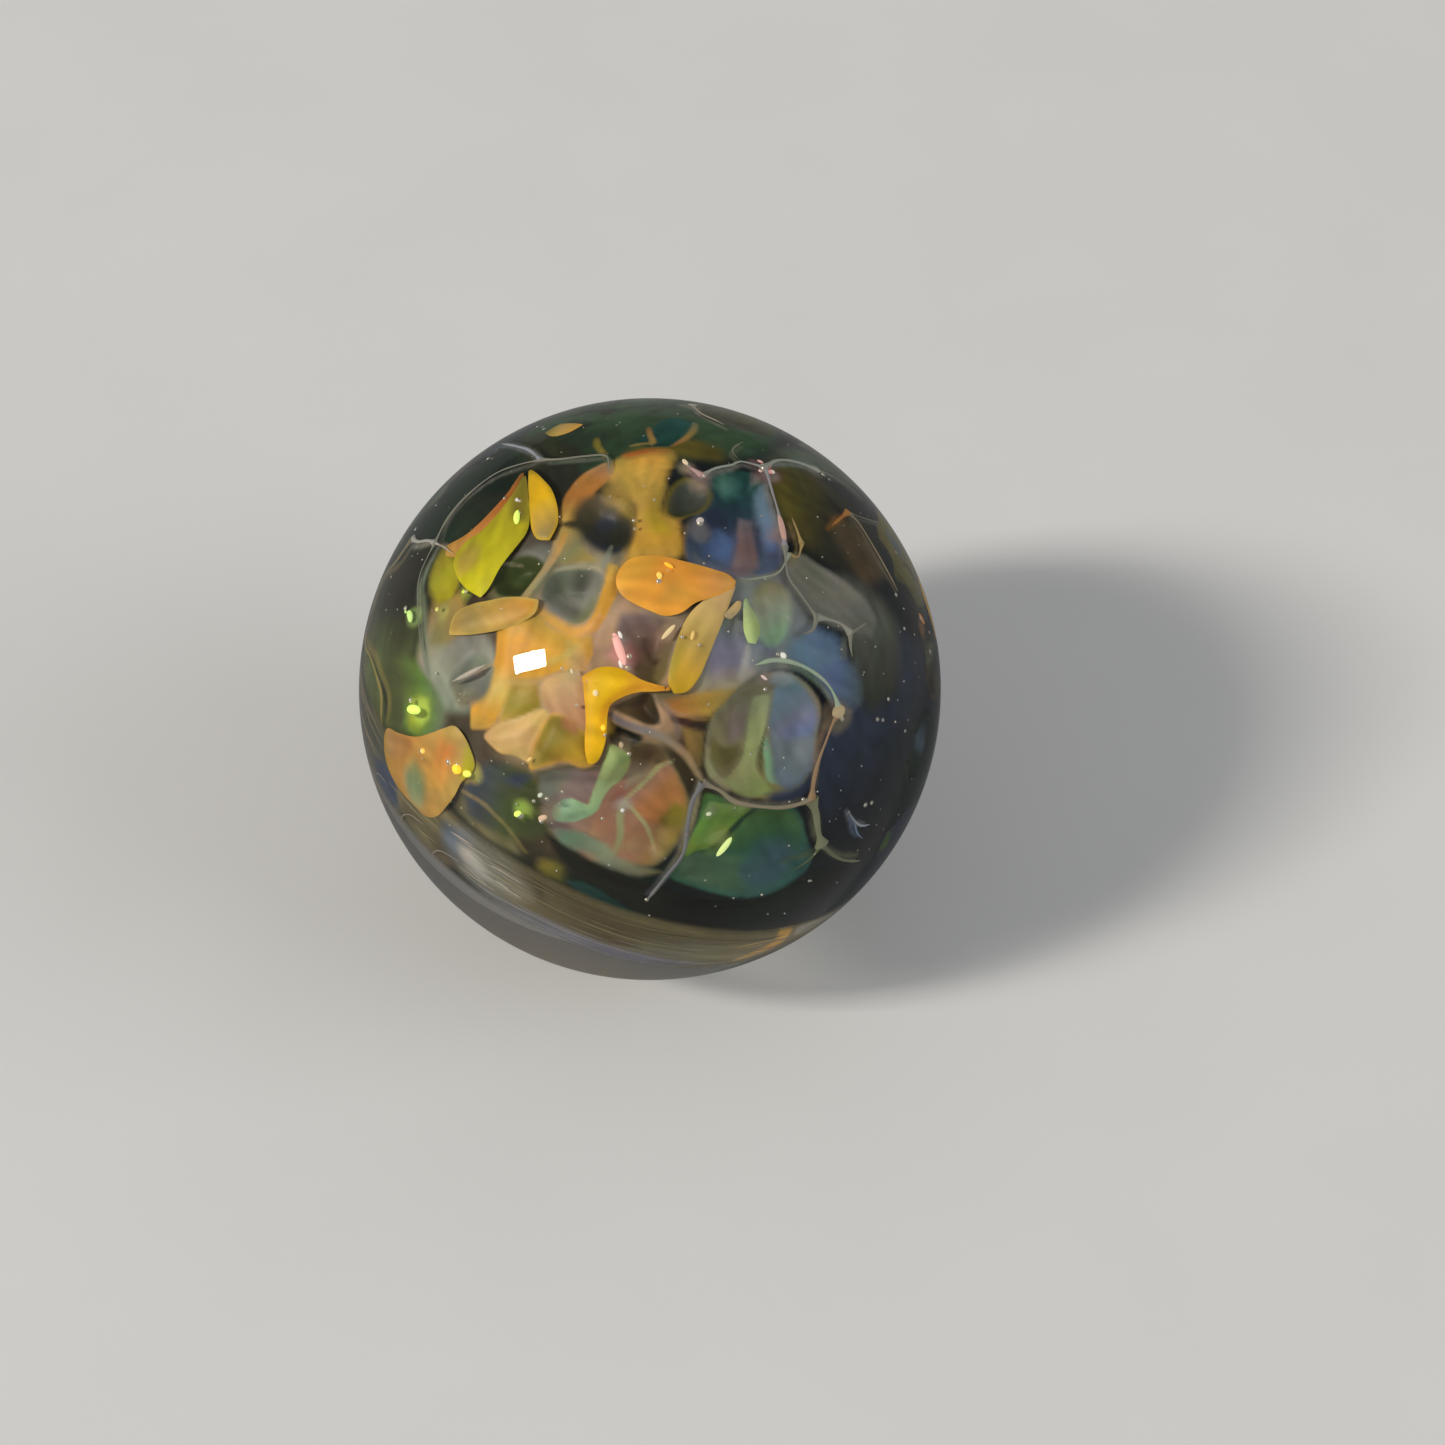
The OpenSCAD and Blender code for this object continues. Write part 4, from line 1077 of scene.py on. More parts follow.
def far_wall(number, ends):
    """A thin bent wall of the far side between two points, as a thread's width, stops and tint."""
    onward = ends[1] - ends[0]
    sag = 0.13 * math.sin(number * 2.7) * np.cross(onward, ends[0]) / np.linalg.norm(onward)
    stops = stops_of(np.vstack([ends[0], unit(ends.sum(axis=0) + sag), ends[1]]))
    tint = (FOG, SAND, mid(SAGE, MILK), KHAKI)[number % 4]
    return 0.07 + 0.04 * (number % 4), stops, tint * 0.9


def far_web():
    """The cells of the far side and the thin walls between them, from the middles of the cells."""
    known = [(turn, tilt) for turn, tilt, _ in FAR_CELLS]
    around = [(turn, tilt) for turn in range(280, 425, 16) for tilt in (14, 45, 75, 100)]
    around += [(turn, 118) for turn in range(50, 300, 22)] + FAR_NEIGHBOURS
    middles = facing(*np.array(known + around, float).T)
    mesh = bmesh.new()
    points = [mesh.verts.new(way) for way in middles]
    mesh.verts.index_update()
    bmesh.ops.convex_hull(mesh, input=points)
    mesh.faces.ensure_lookup_table()
    meeting = {face: unit(np.array(face.calc_center_median())) for face in mesh.faces}
    cells, lobes, walls = [], [], []
    for number, middle in enumerate(middles[:len(known)]):
        if middle @ SEEN_FROM <= 0.32:
            corners = np.array([meeting[face] for face in points[number].link_faces])
            cell, *leaves = far_cell(number, middle, corners)
            cells.append(cell)
            lobes += leaves
    for edge in mesh.edges:
        if len(edge.link_faces) != 2 or min(v.index for v in edge.verts) >= len(known):
            continue
        ends = np.array([meeting[face] for face in edge.link_faces])
        hidden = max(ends @ SEEN_FROM) < 0.22 and edge.index % 3 != 2
        if hidden and max(turn_and_tilt(ends)[1]) < RIM_TILT:
            walls.append(far_wall(edge.index, ends))
    mesh.free()
    return cells, lobes, walls


def wisp_strokes():
    """Fine streaks laid side by side along each wisp, each with its own length and tilt."""
    chooser = np.random.default_rng(5)
    strokes = []
    for (first, last), (low, high), count, width, tint in WISPS:
        last += 360 if last < first else 0
        for _ in range(count):
            middle = chooser.uniform(first, last)
            half = (last - first) * chooser.uniform(0.15, 0.4)
            start, end = max(first, middle - half), min(last, middle + half)
            tilt = chooser.uniform(low, high)
            slope = chooser.uniform(-1.0, 1.0)
            between = (start * 0.6 + end * 0.4, tilt + chooser.uniform(-0.5, 0.5))
            thick = width * chooser.uniform(0.5, 1.3)
            bright = tint * chooser.uniform(0.8, 1.15)
            strokes.append((thick, [(start, tilt - slope), between, (end, tilt + slope)], bright))
    return strokes


def dome_shape(turn, tilt, height):
    """The dome's distance from the ball's middle at each direction, and its share of underside there."""
    dome = BALL_R * CORE_DEPTH + height * MM
    drop = RIM_DROP + RIM_SWING * np.cos((turn - RIM_SWING_TURN) * DEGREE)
    hollow = 1 - RIM_HOLLOW * ease(RIM_TILT, 175, tilt)
    floor = BALL_R * drop * hollow / np.maximum(-np.cos(tilt * DEGREE), 0.02)
    blend = RIM_ROUNDING * MM
    share = np.clip(0.5 + 0.5 * (floor - dome) / blend, 0, 1)
    radius = floor * (1 - share) + dome * share - blend * share * (1 - share) / 2
    return radius, ease(0.4, 0.6, 1 - share)


def underside_colours(ways, turn):
    """Streaks that run in to the axis under the dome."""
    spokes = 0.5 + 0.5 * np.sin(turn * DEGREE * 23 + 3 * ripple(ways, 0.8, 31))
    warm = (0.5 + 0.5 * np.sin(turn * DEGREE * 5 + 2 * ripple(ways, 1.2, 32)))[:, None]
    return (HONEY * warm + FIR * (1 - warm)) * (0.25 + 0.75 * spokes[:, None])


def colour_dome(material, far_cells, far_lobes, far_walls):
    """The coloured glass: cells sunk into a dome, and an underside that is drawn in to its axis."""
    ways, faces = even_ball(DOME_DIVISIONS)
    wander = WANDER * np.stack([ripple(ways, 0.35, seed) for seed in (11, 12, 13)], 1)
    painted = unit(ways + wander)
    turn, tilt = turn_and_tilt(painted)
    right_side = ease(-0.5, 0.6, painted[:, 0])[:, None]
    ground = PINE * 0.6 * (1 - right_side) + MIDNIGHT * 0.8 * right_side
    height = SWELL * ripple(ways, 0.4, 21)
    halos, glint_glows = [], []
    for width, stops, tint in THREADS + far_walls:
        halos.append(band(stops, 5 * width, (tint * 0.7, tint * 0.7), soft=0.9))
    # Round each glint, a painted glowing patch of its tint on the dome.
    for width, stops, tint in PAINTED_GLINTS:
        spot = ring(*stops[len(stops) // 2], 3.4 * width + 0.6)
        glint_glows.append(Field(spot, (tint * 0.75, tint * 0.75), soft=1.1))
    paint(painted, ground, height, GROUND)
    coats = {
        "cells": layer(painted, height, far_cells + CELLS),
        "inlays": layer(painted, height, far_lobes + INLAYS),
        "bands": layer(painted, height, halos + BANDS),
        "sheens": layer(painted, height, glint_glows)}
    radius, under = dome_shape(turn, tilt, height)
    under = under[:, None]
    ground = ground * (1 - under) + underside_colours(ways, turn) * under
    piece = make_piece("colour_dome", ways * radius[:, None], faces, material, streaked(ways, ground, 41))
    for name, coat in coats.items():
        coat[:, 3:] -= HIDDEN * under
        add_colours(piece.data, name, coat)
    return piece


def petal_points(line):
    """Flat points spread evenly inside a closed line, in staggered rows."""
    low, high = line.min(axis=0), line.max(axis=0)
    points = []
    for row, y in enumerate(np.arange(low[1], high[1], PETAL_SPACING * 0.866)):
        shift = 0.5 * PETAL_SPACING * (row % 2)
        points += [(x + shift, y) for x in np.arange(low[0], high[0], PETAL_SPACING)]
    points = np.array(points)
    return points[inside_line(points, line) > 0.35 * PETAL_SPACING]


def petal_mesh(field, depth):
    """A thin lens-edged petal over its field: its points, faces and colours."""
    line = field.line
    count = len(line)
    corners = [Vector(p) for p in np.vstack([line, petal_points(line)])]
    edges = [(i, (i + 1) % count) for i in range(count)]
    flat, _, triangles, *_ = delaunay_2d_cdt(corners, edges, [], 1, 1e-6)
    flat = np.array([tuple(p) for p in flat])
    inside = inside_line(flat, line)
    inside[:count] = 0
    inside = np.maximum(inside, 0)
    widest = max(inside.max(), 0.5)
    edge = np.sqrt(1 - (1 - np.clip(inside / PETAL_ROUNDING, 0, 1)) ** 2)
    middle = depth * BALL_R / MM - PETAL_CURL * (1 - inside / widest) ** 2
    ways = field.unflatten(flat)
    top = ways * ((middle + PETAL_THICKNESS / 2 * edge) * MM)[:, None]
    bottom = ways * ((middle - PETAL_THICKNESS / 2 * edge) * MM)[:, None]
    # Both sides share the points of the outline, and only the others have a twin below.
    numbers = np.arange(len(flat))
    below = np.where(numbers < count, numbers, numbers + len(flat) - count)
    faces = []
    for a, b, c in triangles:
        if max(a, b, c) < count:
            continue
        turned = np.cross(top[b] - top[a], top[c] - top[a]) @ top[a]
        a, b, c = (a, b, c) if turned > 0 else (a, c, b)
        faces += [(a, b, c), (below[a], below[c], below[b])]
    points = np.vstack([top, bottom[count:]])
    colours = field.colours(ways, inside)
    used, places = np.unique(faces, return_inverse=True)
    return points[used], places.reshape(-1, 3).tolist(), np.vstack([colours, colours[count:]])[used]


def petals(material):
    """All the petals, as one piece."""
    points, faces, colours, start = [], [], [], 0
    far = [dict(corners=leaf(*shape), shades=shades) for *shape, shades in FAR_PETALS]
    for number, made in enumerate(list(PETALS.values()) + far):
        field = Field(made["corners"], made["shades"], rim=made.get("rim"), rim_width=0.8, rounds=1)
        p, f, c = petal_mesh(field, made.get("depth", PETAL_DEPTH))
        points.append(p)
        paint(unit(p), c, np.zeros(len(p)), made.get("patches", ()))
        colours.append(streaked(unit(p), c, 60 + number, 0.10))
        faces += [tuple(i + start for i in face) for face in f]
        start += len(p)
    piece = make_piece("petals", np.vstack(points), faces, material, np.vstack(colours))
    piece.data.set_sharp_from_angle(angle=PETAL_EDGE * DEGREE)
    return piece


def veil(material):
    """The smoky sheet under the dome's edge: a thin closed band that fades out towards its top and foot."""
    turn = np.arange(VEIL_AROUND) * 360 / VEIL_AROUND
    tilt = np.linspace(VEIL_TOP, VEIL_FOOT, VEIL_DOWN)
    turns, tilts = np.meshgrid(turn, np.concatenate([tilt, tilt[::-1]]))
    tilts = tilts.ravel()
    ways = facing(turns.ravel(), tilts)
    side = np.repeat([VEIL_HALF, -VEIL_HALF], VEIL_DOWN * VEIL_AROUND)
    inward = VEIL_TUCK * BALL_R * ease(VEIL_TOP + 6, VEIL_TOP, tilts)
    points = ways * (BALL_R * VEIL_DEPTH - inward + side * MM)[:, None]
    rings = 2 * VEIL_DOWN
    faces = []
    for row in range(rings):
        here, below = row * VEIL_AROUND, (row + 1) % rings * VEIL_AROUND
        for step in range(VEIL_AROUND):
            after = (step + 1) % VEIL_AROUND
            faces.append((here + step, below + step, below + after, here + after))
    drawn = np.stack([ways @ DOME[0], ways @ DOME[1], tilts / 7], 1)
    colour = mid(KHAKI, UMBER)[None] * (1 + 0.3 * ripple(drawn, 0.9, 51)[:, None])
    paint(ways, colour, np.zeros(len(ways)), VEIL)
    seen = ease(-0.35, 0.15, ways @ np.array(SEEN_FROM))
    fading = ease(VEIL_TOP, VEIL_TOP + 2.5, tilts) * ease(VEIL_FOOT, VEIL_FOOT - 4, tilts)
    cover = fading * (0.5 + 0.4 * seen)
    colours = np.hstack([np.clip(colour, 0, 1), cover[:, None]])
    piece = make_piece("veil", points, faces, material, colours)
    add_colours(piece.data, "drawn", drawn)
    return piece


def clear_ball(material):
    """The clear glass of the whole ball, fire polished and so a few hundredths out of round."""
    ways, faces = even_ball(BALL_DIVISIONS)
    uneven = 0.5 + 0.5 * np.clip(ripple(ways, 1.4, 5, 6) / 2, -1, 1)
    radius = BALL_R - OUT_OF_ROUND * MM * uneven
    return make_piece("clear_ball", ways * radius[:, None], faces, material)


# ---------------------------------------------------------------- geometry node trees

class Tree:
    """Builds one geometry node tree with named inputs."""

    def __init__(self, name, inputs):
        self.tree = bpy.data.node_groups.new(name, "GeometryNodeTree")
        face = self.tree.interface
        face.new_socket("Geometry", in_out="INPUT", socket_type="NodeSocketGeometry")
        face.new_socket("Geometry", in_out="OUTPUT", socket_type="NodeSocketGeometry")
        self.keys = {}
        for label, kind in inputs.items():
            self.keys[label] = face.new_socket(label, in_out="INPUT", socket_type=kind).identifier
        self.given = self.tree.nodes.new("NodeGroupInput").outputs
        self.result = self.tree.nodes.new("NodeGroupOutput")

    def node(self, kind, settings=None, sockets=None):
        """Adds a node: its settings first, then the values or links of its sockets."""
        made = self.tree.nodes.new(kind)
        for key, value in (settings or {}).items():
            setattr(made, key, value)
        for key, value in (sockets or {}).items():
            if isinstance(value, bpy.types.NodeSocket):
                self.tree.links.new(value, made.inputs[key])
            else:
                made.inputs[key].default_value = value
        return made

    def number(self, name):
        """The socket of a number that the points carry."""
        carried = self.node("GeometryNodeInputNamedAttribute", {"data_type": "FLOAT"}, {"Name": name})
        return carried.outputs["Attribute"]

    def finish(self, geometry):
        """Turns instances into plain geometry, gives it its material and sends it out."""
        whole = self.node("GeometryNodeRealizeInstances", sockets={0: geometry})
        sockets = {0: whole.outputs[0], 2: self.given["Material"]}
        painted = self.node("GeometryNodeSetMaterial", sockets=sockets)
        self.tree.links.new(painted.outputs[0], self.result.inputs[0])

    def apply(self, source, name, values):
        """Runs the tree on an object and keeps the result as a plain mesh piece."""
        modifier = source.modifiers.new("tree", "NODES")
        modifier.node_group = self.tree
        for label, value in values.items():
            modifier[self.keys[label]] = value
        shown = source.evaluated_get(bpy.context.evaluated_depsgraph_get())
        mesh = bpy.data.meshes.new_from_object(shown)
        mesh.name = name
        mesh.polygons.foreach_set("use_smooth", [True] * len(mesh.polygons))
        bpy.data.objects.remove(source)
        return add_object(name, mesh)


def thread_tree():
    """Gives each path a round section of its own width."""
    tree = Tree("drawn threads", {"Sides": "NodeSocketInt", "Material": "NodeSocketMaterial"})
    sockets = {"Resolution": tree.given["Sides"], "Radius": 1.0}
    section = tree.node("GeometryNodeCurvePrimitiveCircle", sockets=sockets)
    sockets = {
        "Curve": tree.given["Geometry"], "Profile Curve": section.outputs[0],
        "Scale": tree.number("radius"), "Fill Caps": True}
    tree.finish(tree.node("GeometryNodeCurveToMesh", sockets=sockets).outputs[0])
    return tree


def thread_widths(ways, number, ends, stops):
    """How thick a thread is all along: thicker where threads run together, thin at a free end."""
    run = np.degrees(np.concatenate([[0], np.cumsum(np.linalg.norm(np.diff(ways, axis=0), axis=1))]))
    swell = 1 + 0.2 * ripple(ways * 3, 0.5, number)
    for stop, away in ((stops[0], run), (stops[-1], run[-1] - run)):
        if ends.count(stop) > 1:
            swell += JUNCTION_SWELL * np.exp(-(away / JUNCTION_REACH) ** 2)
        else:
            swell *= 0.2 + 0.8 * ease(0, min(FREE_END, run[-1] / 2), away)
    return swell


def bead_widths(ways, *_):
    """A long bubble is fullest at its middle, with round ends."""
    share = np.linspace(-1, 1, len(ways))
    return np.sqrt(1 - 0.985 * share ** 2)


def drawn_glass(name, material, strokes, widths, depth, step):
    """Strokes of glass with a round section, each by its width, its stops and its tint."""
    curve = bpy.data.curves.new(name + " paths", "CURVE")
    curve.dimensions = "3D"
    ends = [stops[end] for _, stops, _ in strokes for end in (0, -1)]
    tints = []
    for number, (width, stops, tint) in enumerate(strokes):
        ways = smooth_path(stops, step)
        swell = widths(ways, number, ends, stops)
        spline = curve.splines.new("POLY")
        spline.points.add(len(ways) - 1)
        for point, way, thick in zip(spline.points, ways, swell):
            point.co = (*(way * BALL_R * depth), 1)
            point.radius = width * MM / 2 * thick
            tints.append(tint)
    source = add_object(name + " paths", curve)
    piece = thread_tree().apply(source, name, {"Sides": THREAD_SIDES, "Material": material})
    add_colours(piece.data, "glass_colour", np.repeat(np.array(tints), THREAD_SIDES, axis=0))
    return piece


def bubble_tree():
    """Puts a small round bubble at every given point, at the point's own width."""
    tree = Tree("air bubbles", {"Fineness": "NodeSocketInt", "Material": "NodeSocketMaterial"})
    sockets = {"Radius": 0.5, "Subdivisions": tree.given["Fineness"]}
    ball = tree.node("GeometryNodeMeshIcoSphere", sockets=sockets)
    sockets = {
        "Points": tree.given["Geometry"], "Instance": ball.outputs[0], "Scale": tree.number("width")}
    tree.finish(tree.node("GeometryNodeInstanceOnPoints", sockets=sockets).outputs[0])
    return tree


def bubbles(name, spots, fineness, material):
    """One piece of air bubbles. Each spot is a place in the ball and a width in metres."""
    mesh = bpy.data.meshes.new(name + " places")
    mesh.from_pydata([tuple(place) for place, _ in spots], [], [])
    widths = mesh.attributes.new("width", "FLOAT", "POINT")
    widths.data.foreach_set("value", [width for _, width in spots])
    source = add_object(name + " places", mesh)
    return bubble_tree().apply(source, name, {"Fineness": fineness, "Material": material})


def bubble_spots():
    """Places and widths of the bubbles among the threads."""
    spots = []
    for turn, tilt, width in BUBBLES:
        spots.append((facing(turn, tilt) * BALL_R * BUBBLE_DEPTH, TRUE_WIDTH * width * MM))
    return spots


def pin_spots():
    """Places and widths of the finest bubbles, scattered in the outer glass."""
    chooser = np.random.default_rng(77)
    spots = []
    for _ in range(PINS):
        turn = chooser.uniform(0, 360)
        tilt = math.degrees(math.acos(chooser.uniform(-0.3, 1)))
        place = facing(turn, tilt) * BALL_R * chooser.uniform(*PIN_DEPTHS)
        spots.append((place, chooser.uniform(*PIN_WIDTHS) * MM))
    return spots


# ---------------------------------------------------------------- materials

class Wire:
    """A socket that can be used in sums, which add Math nodes."""

    def __init__(self, recipe, socket):
        self.recipe, self.socket = recipe, socket

    def sum(self, operation, first, second):
        return self.recipe.node("ShaderNodeMath", {"operation": operation}, {0: first, 1: second})

    def __add__(self, other):
        return self.sum("ADD", self, other)

    def __sub__(self, other):
        return self.sum("SUBTRACT", self, other)

    def __rsub__(self, other):
        return self.sum("SUBTRACT", other, self)

    def __mul__(self, other):
        return self.sum("MULTIPLY", self, other)

    __radd__ = __add__
    __rmul__ = __mul__


class Recipe:
    """Builds one material's nodes."""

    def __init__(self, name):
        self.material = bpy.data.materials.new(name)
        self.material.use_nodes = True
        self.tree = self.material.node_tree
        self.tree.nodes.clear()

    def node(self, kind, settings=None, sockets=None, output=0):
        """Adds a node: its settings first, then the values or links of its sockets."""
        made = self.tree.nodes.new(kind)
        for key, value in (settings or {}).items():
            if key == "stops":
                self.set_stops(made.color_ramp, value)
            else:
                setattr(made, key, value)
        for key, value in (sockets or {}).items():
            if isinstance(value, Wire):
                self.tree.links.new(value.socket, made.inputs[key])
            else:
                made.inputs[key].default_value = value
        return Wire(self, made.outputs[output])

    @staticmethod
    def set_stops(ramp, stops):
        """Gives a ramp its stops, each a place and a colour."""
        while len(ramp.elements) < len(stops):
            ramp.elements.new(1)
        for element, (place, colour) in zip(ramp.elements, stops):
            element.position = place
            element.color = colour

    def attribute(self, name, output=0):
        """What the points carry under a name: its colour, or at output 3 its fourth number."""
        return self.node("ShaderNodeAttribute", {"attribute_name": name}, output=output)

    def noise(self, scale, detail, distortion=0.0, output=0):
        """Clouds of a scale, fixed to the piece: a number, or at output 1 a colour."""
        place = self.node("ShaderNodeTexCoord", output=3)
        sockets = {"Vector": place, "Scale": scale, "Detail": detail, "Distortion": distortion}
        return self.node("ShaderNodeTexNoise", {"noise_dimensions": "3D"}, sockets, output)

    def mixed(self, below, above, share, way="MIX"):
        """One colour over or times another."""
        settings = {"data_type": "RGBA", "blend_type": way}
        return self.node("ShaderNodeMix", settings, {0: share, 6: below, 7: above}, output=2)

    def grey(self, tone):
        """A tone as a colour."""
        return self.node("ShaderNodeCombineColor", sockets={0: tone, 1: tone, 2: tone})

    def shader(self, sockets):
        """The plain shader that every finish starts from."""
        return self.node("ShaderNodeBsdfPrincipled", sockets=sockets)

    def finish(self, shader):
        """Ends the material with a shader."""
        output = self.tree.nodes.new("ShaderNodeOutputMaterial")
        self.tree.links.new(shader.socket, output.inputs["Surface"])
        return self.material


def coloured_glass(name, fine, cloudiness, coats=(), painted_glow=0.0):
    """Coloured glass inside the ball: its own colour, drawn into fine darker and lighter streaks."""
    recipe = Recipe(name)
    colour = recipe.attribute("glass_colour")
    streak = recipe.noise(fine, 4.0, 1.2)
    cloud = recipe.noise(fine / 6, 2.0)
    for coat, strength in coats:
        inside = recipe.attribute(coat, output=3) + (streak - 0.5) * 0.8
        edge = {"Value": inside, "From Min": -1.0, "From Max": 1.0, "To Max": strength}
        cover = recipe.node("ShaderNodeMapRange", {"interpolation_type": "SMOOTHSTEP"}, edge)
        colour = recipe.mixed(colour, recipe.attribute(coat), cover)
    tone = (streak * 0.6 + cloud * 0.4 - 0.5) * cloudiness + 1.0
    tint = recipe.noise(fine / 3, 3.0, 0.6, output=1)
    colour = recipe.mixed(colour, tint, cloudiness * 0.4, "OVERLAY")
    colour = recipe.mixed(colour, recipe.grey(tone), 1.0, "MULTIPLY")
    sockets = {"Base Color": colour, "Roughness": streak * 0.3 + 0.3, "Specular IOR Level": 0.15}
    # A painted light: the glass is made to emit light of its own colour, as if lit from within.
    if painted_glow:
        sockets |= {"Emission Color": colour, "Emission Strength": painted_glow}
    return recipe.finish(recipe.shader(sockets))


def smoky_glass():
    """The thin smoky sheet: streaks drawn out along the dome's edge, more or less dense."""
    recipe = Recipe("smoky glass")
    colour = recipe.attribute("glass_colour")
    dense = recipe.attribute("glass_colour", output=3)
    sockets = {
        "Vector": recipe.attribute("drawn", output=1), "Scale": 1.8, "Detail": 5.0,
        "Roughness": 0.5, "Distortion": 0.6}
    streak = recipe.node("ShaderNodeTexNoise", {"noise_dimensions": "3D"}, sockets)
    return recipe.finish(recipe.shader({
        "Base Color": recipe.mixed(colour, recipe.grey(streak * 0.9 + 0.55), 1.0, "MULTIPLY"),
        "Alpha": dense * (streak * 0.5 + 0.75),
        "Roughness": streak * 0.2 + 0.5,
        "Specular IOR Level": 0.1}))


def clear_glass():
    """The clear glass of the ball, which lets light through to what lies inside.

    Light thrown back by other things passes it unbent, and so does lamplight, which
    is weaker where it grazes the glass.
    """
    recipe = Recipe("clear glass")
    sockets = {"Strength": 0.02, "Distance": 0.0002, "Height": recipe.noise(120.0, 2.0)}
    wave = recipe.node("ShaderNodeBump", sockets=sockets)
    glass = recipe.shader({
        "Base Color": (0.97, 0.98, 0.97, 1), "Roughness": 0.0, "IOR": 1.47,
        "Transmission Weight": 1.0, "Normal": wave})
    passing = recipe.node("ShaderNodeBsdfTransparent")
    shaded = recipe.node("ShaderNodeBsdfTransparent", sockets={"Color": (0.3, 0.3, 0.3, 1)})
    grazing = recipe.node("ShaderNodeLayerWeight", sockets={"Blend": 0.5}, output=1)
    lit = recipe.node("ShaderNodeMixShader", sockets={0: grazing, 1: passing, 2: shaded})
    thrown_back = recipe.node("ShaderNodeLightPath", output=2)
    from_lamp = recipe.node("ShaderNodeLightPath", output=1)
    glass = recipe.node("ShaderNodeMixShader", sockets={0: thrown_back, 1: glass, 2: passing})
    return recipe.finish(recipe.node("ShaderNodeMixShader", sockets={0: from_lamp, 1: glass, 2: lit}))


def silvery_air():
    """A small bubble seen from the glass around it: it throws light back like a mirror, and gives off a
    faint painted light of its own.
    """
    recipe = Recipe("air in glass")
    return recipe.finish(recipe.shader({
        "Base Color": (0.9, 0.88, 0.82, 1), "Metallic": 1.0,
        "Roughness": recipe.noise(900.0, 2.0) * 0.15 + 0.12,
        # A faint painted light of its own, so that the bubbles stay bright.
        "Emission Color": (1.0, 0.95, 0.85, 1), "Emission Strength": 0.12}))


def floor_finish():
    """A plain pale floor, darker for mirrored rays so that it does not veil the glass."""
    recipe = Recipe("pale floor")
    stops = [(0.0, (0.66, 0.65, 0.63, 1)), (1.0, (0.70, 0.69, 0.67, 1))]
    tone = recipe.node("ShaderNodeValToRGB", {"stops": stops}, {0: recipe.noise(60.0, 4.0)})
    mirrored = recipe.node("ShaderNodeLightPath", output=3)
    tone = recipe.mixed(tone, (0.10, 0.10, 0.10, 1), mirrored * 0.8)
    return recipe.finish(recipe.shader({"Base Color": tone, "Roughness": 0.6}))


# ---------------------------------------------------------------- the marble and its room

def build_marble():
    """The clear ball and everything that is melted into it."""
    cells, lobes, walls = far_web()
    coats = (("cells", 1.0), ("inlays", 0.9), ("bands", 0.85), ("sheens", 0.5))
    glass = coloured_glass("coloured glass", 900.0, 0.5, coats)
    dome = colour_dome(glass, cells, lobes, walls)
    # The petals give off a little light of their own, painted in to lift their shaded sides.
    glass = coloured_glass("petal glass", 1400.0, 0.22, painted_glow=0.10)
    leaves = petals(glass)
    glass = coloured_glass("thread glass", 1800.0, 0.3)
    web = drawn_glass("threads", glass, THREADS + walls, thread_widths, WEB_DEPTH, 1.0)
    # Glowing beads, painted highlights: they give off strong light of their own.
    glass = coloured_glass("painted glint glass", 2400.0, 0.1, painted_glow=0.55)
    lights = drawn_glass("glints", glass, PAINTED_GLINTS, bead_widths, WEB_DEPTH, 0.25)
    glass = coloured_glass("wisp glass", 1500.0, 0.5)
    streaks = drawn_glass("wisps", glass, wisp_strokes(), thread_widths, WISP_DEPTH, 3.0)
    smoke = veil(smoky_glass())
    air = silvery_air()
    large = bubbles("air_bubbles", bubble_spots(), 3, air)
    small = bubbles("pin_bubbles", pin_spots(), 2, air)
    ball = clear_ball(clear_glass())
    for piece in (dome, leaves, web, lights, streaks, smoke, large, small, ball):
        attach(piece, "root")
    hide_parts("marble")


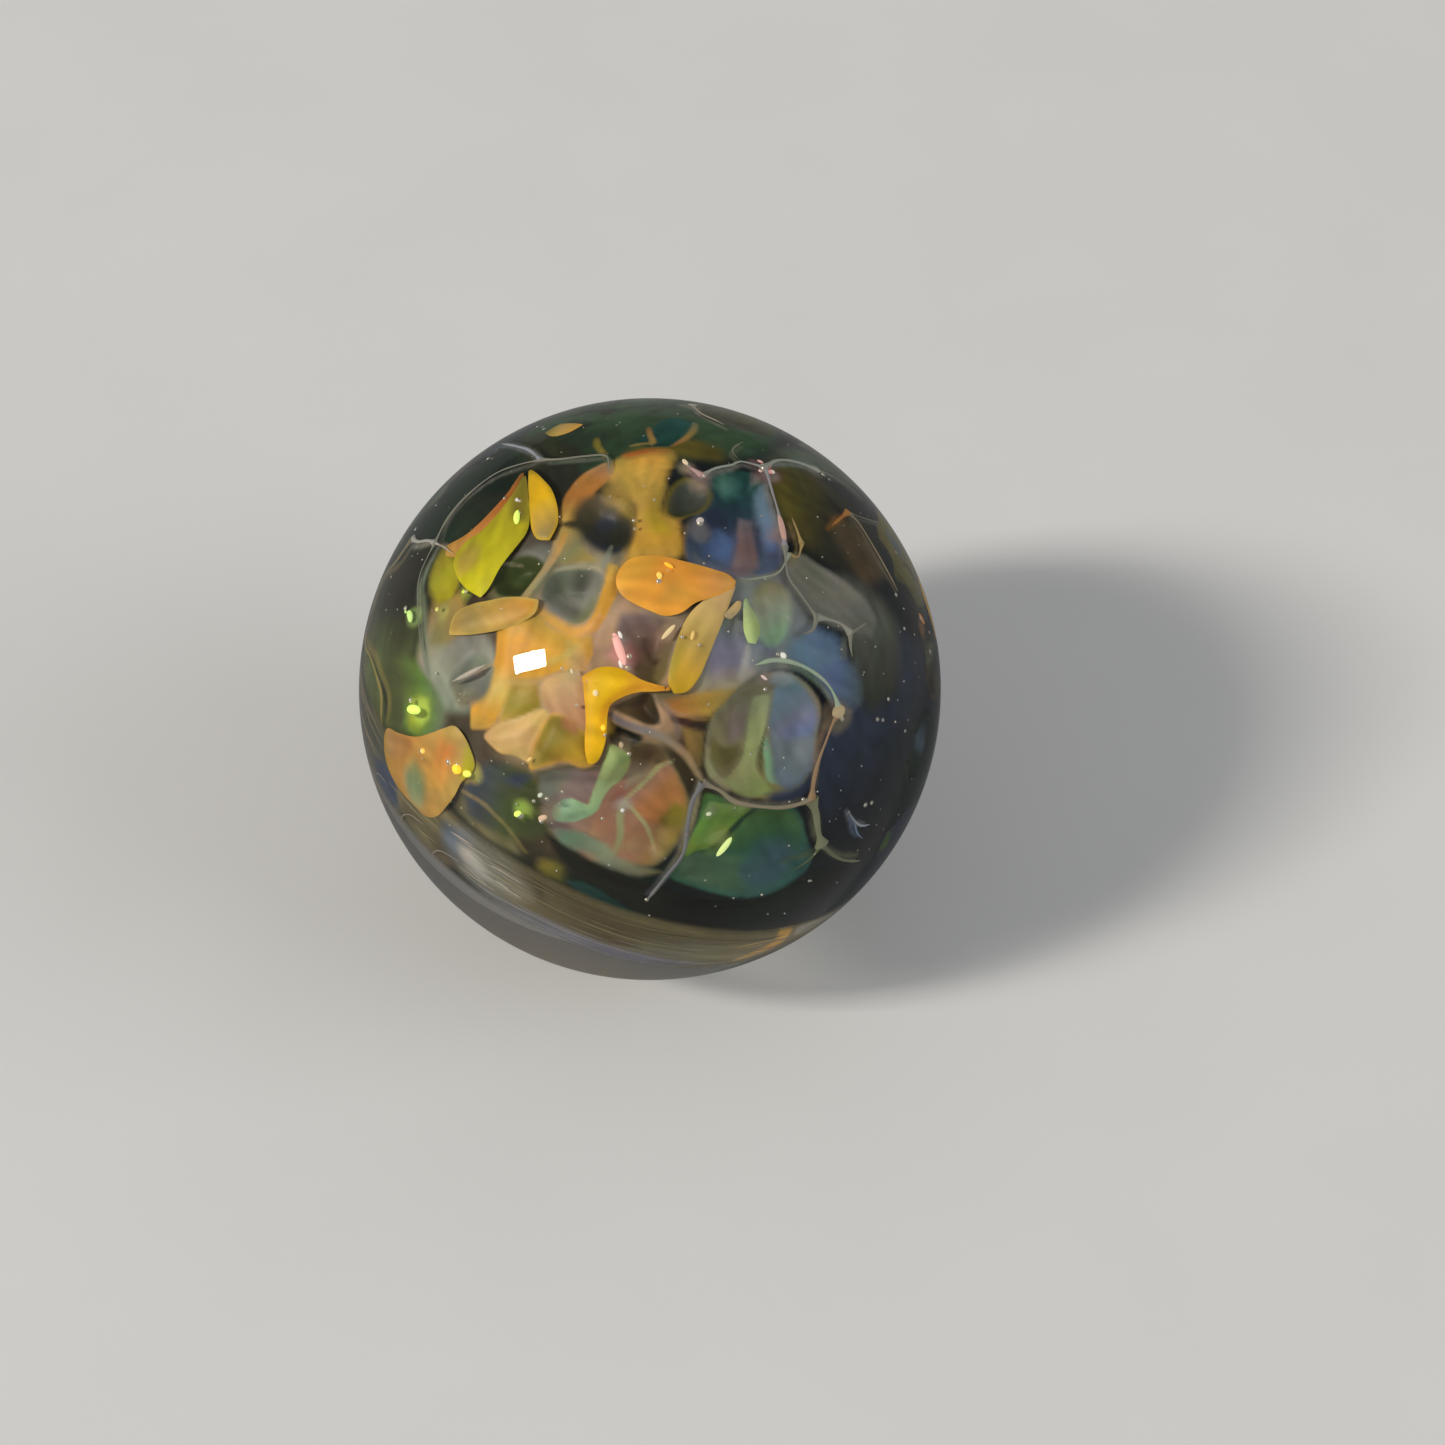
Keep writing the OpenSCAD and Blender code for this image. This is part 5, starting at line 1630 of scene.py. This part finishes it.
def build_room():
    """The pale floor, the plain light around, a key lamp on the left and a broad fill on the right."""
    half = 6.0
    corners = [(x * half, y * half, -BALL_R) for x, y in ((-1, -1), (1, -1), (1, 1), (-1, 1))]
    mesh = bpy.data.meshes.new("floor")
    mesh.from_pydata(corners, [], [(0, 1, 2, 3)])
    mesh.materials.append(floor_finish())
    floor = add_object("floor", mesh)

    world = bpy.data.worlds.new("room")
    bpy.context.scene.world = world
    world.use_nodes = True
    nodes, links = world.node_tree.nodes, world.node_tree.links
    background = nodes["Background"]
    background.inputs["Color"].default_value = (0.95, 0.97, 1.0, 1)
    # The room is darker in mirrored rays, so that it does not veil the glass.
    strength = nodes.new("ShaderNodeMapRange")
    strength.inputs["To Min"].default_value = 0.34
    strength.inputs["To Max"].default_value = 0.10
    links.new(nodes.new("ShaderNodeLightPath").outputs["Is Glossy Ray"], strength.inputs["Value"])
    links.new(strength.outputs[0], background.inputs["Strength"])

    key = add_lamp(
        "key", way=(-0.720, -0.307, 0.623), along=(0.694, -0.283, 0.662), distance=2.4,
        sides=(0.54, 0.26), power=41.6, tint=(1.0, 0.96, 0.90))
    key.visible_transmission = False
    fill = add_lamp(
        "fill", way=(0.822, -0.278, 0.498), along=(0.0, 1.0, 0.0), distance=2.8,
        sides=(1.8, 1.8), power=24.0, tint=(0.92, 0.96, 1.0))
    fill.visible_glossy = False
    fill.visible_transmission = False


def add_lamp(name, way, along, distance, sides, power, tint):
    """A flat soft lamp that faces the ball, with its long side along the given direction."""
    light = bpy.data.lights.new(name, "AREA")
    light.shape = "RECTANGLE"
    light.size, light.size_y = sides
    light.energy = power
    light.color = tint
    lamp = add_object(name, light)
    way = Vector(way).normalized()
    across = way.cross(Vector(along)).normalized()
    lamp.location = way * distance
    lamp.rotation_mode = "QUATERNION"
    lamp.rotation_quaternion = Matrix((across.cross(way), across, way)).transposed().to_quaternion()
    return lamp


def build_camera():
    """A camera that looks down on the ball, with the ball a little left of the middle and above it."""
    distance = 0.180
    # The camera aims this many millimetres to the right of the ball's middle and below it.
    to_the_right = 4.64
    below = 2.3
    data = bpy.data.cameras.new("camera")
    data.sensor_width = 36
    data.lens = 68.3
    data.clip_start = 0.01
    data.clip_end = 20
    upward = Vector((0, math.sin(VIEW_HEIGHT * DEGREE), math.cos(VIEW_HEIGHT * DEGREE)))
    aim = Vector((1, 0, 0)) * to_the_right * MM - upward * below * MM
    camera = add_object("camera", data)
    camera.location = SEEN_FROM * distance
    camera.rotation_mode = "QUATERNION"
    camera.rotation_quaternion = (camera.location - aim).to_track_quat("Z", "Y")
    bpy.context.scene.camera = camera


build_camera()
build_room()
build_marble()
bpy.context.scene.view_settings.view_transform = "Standard"
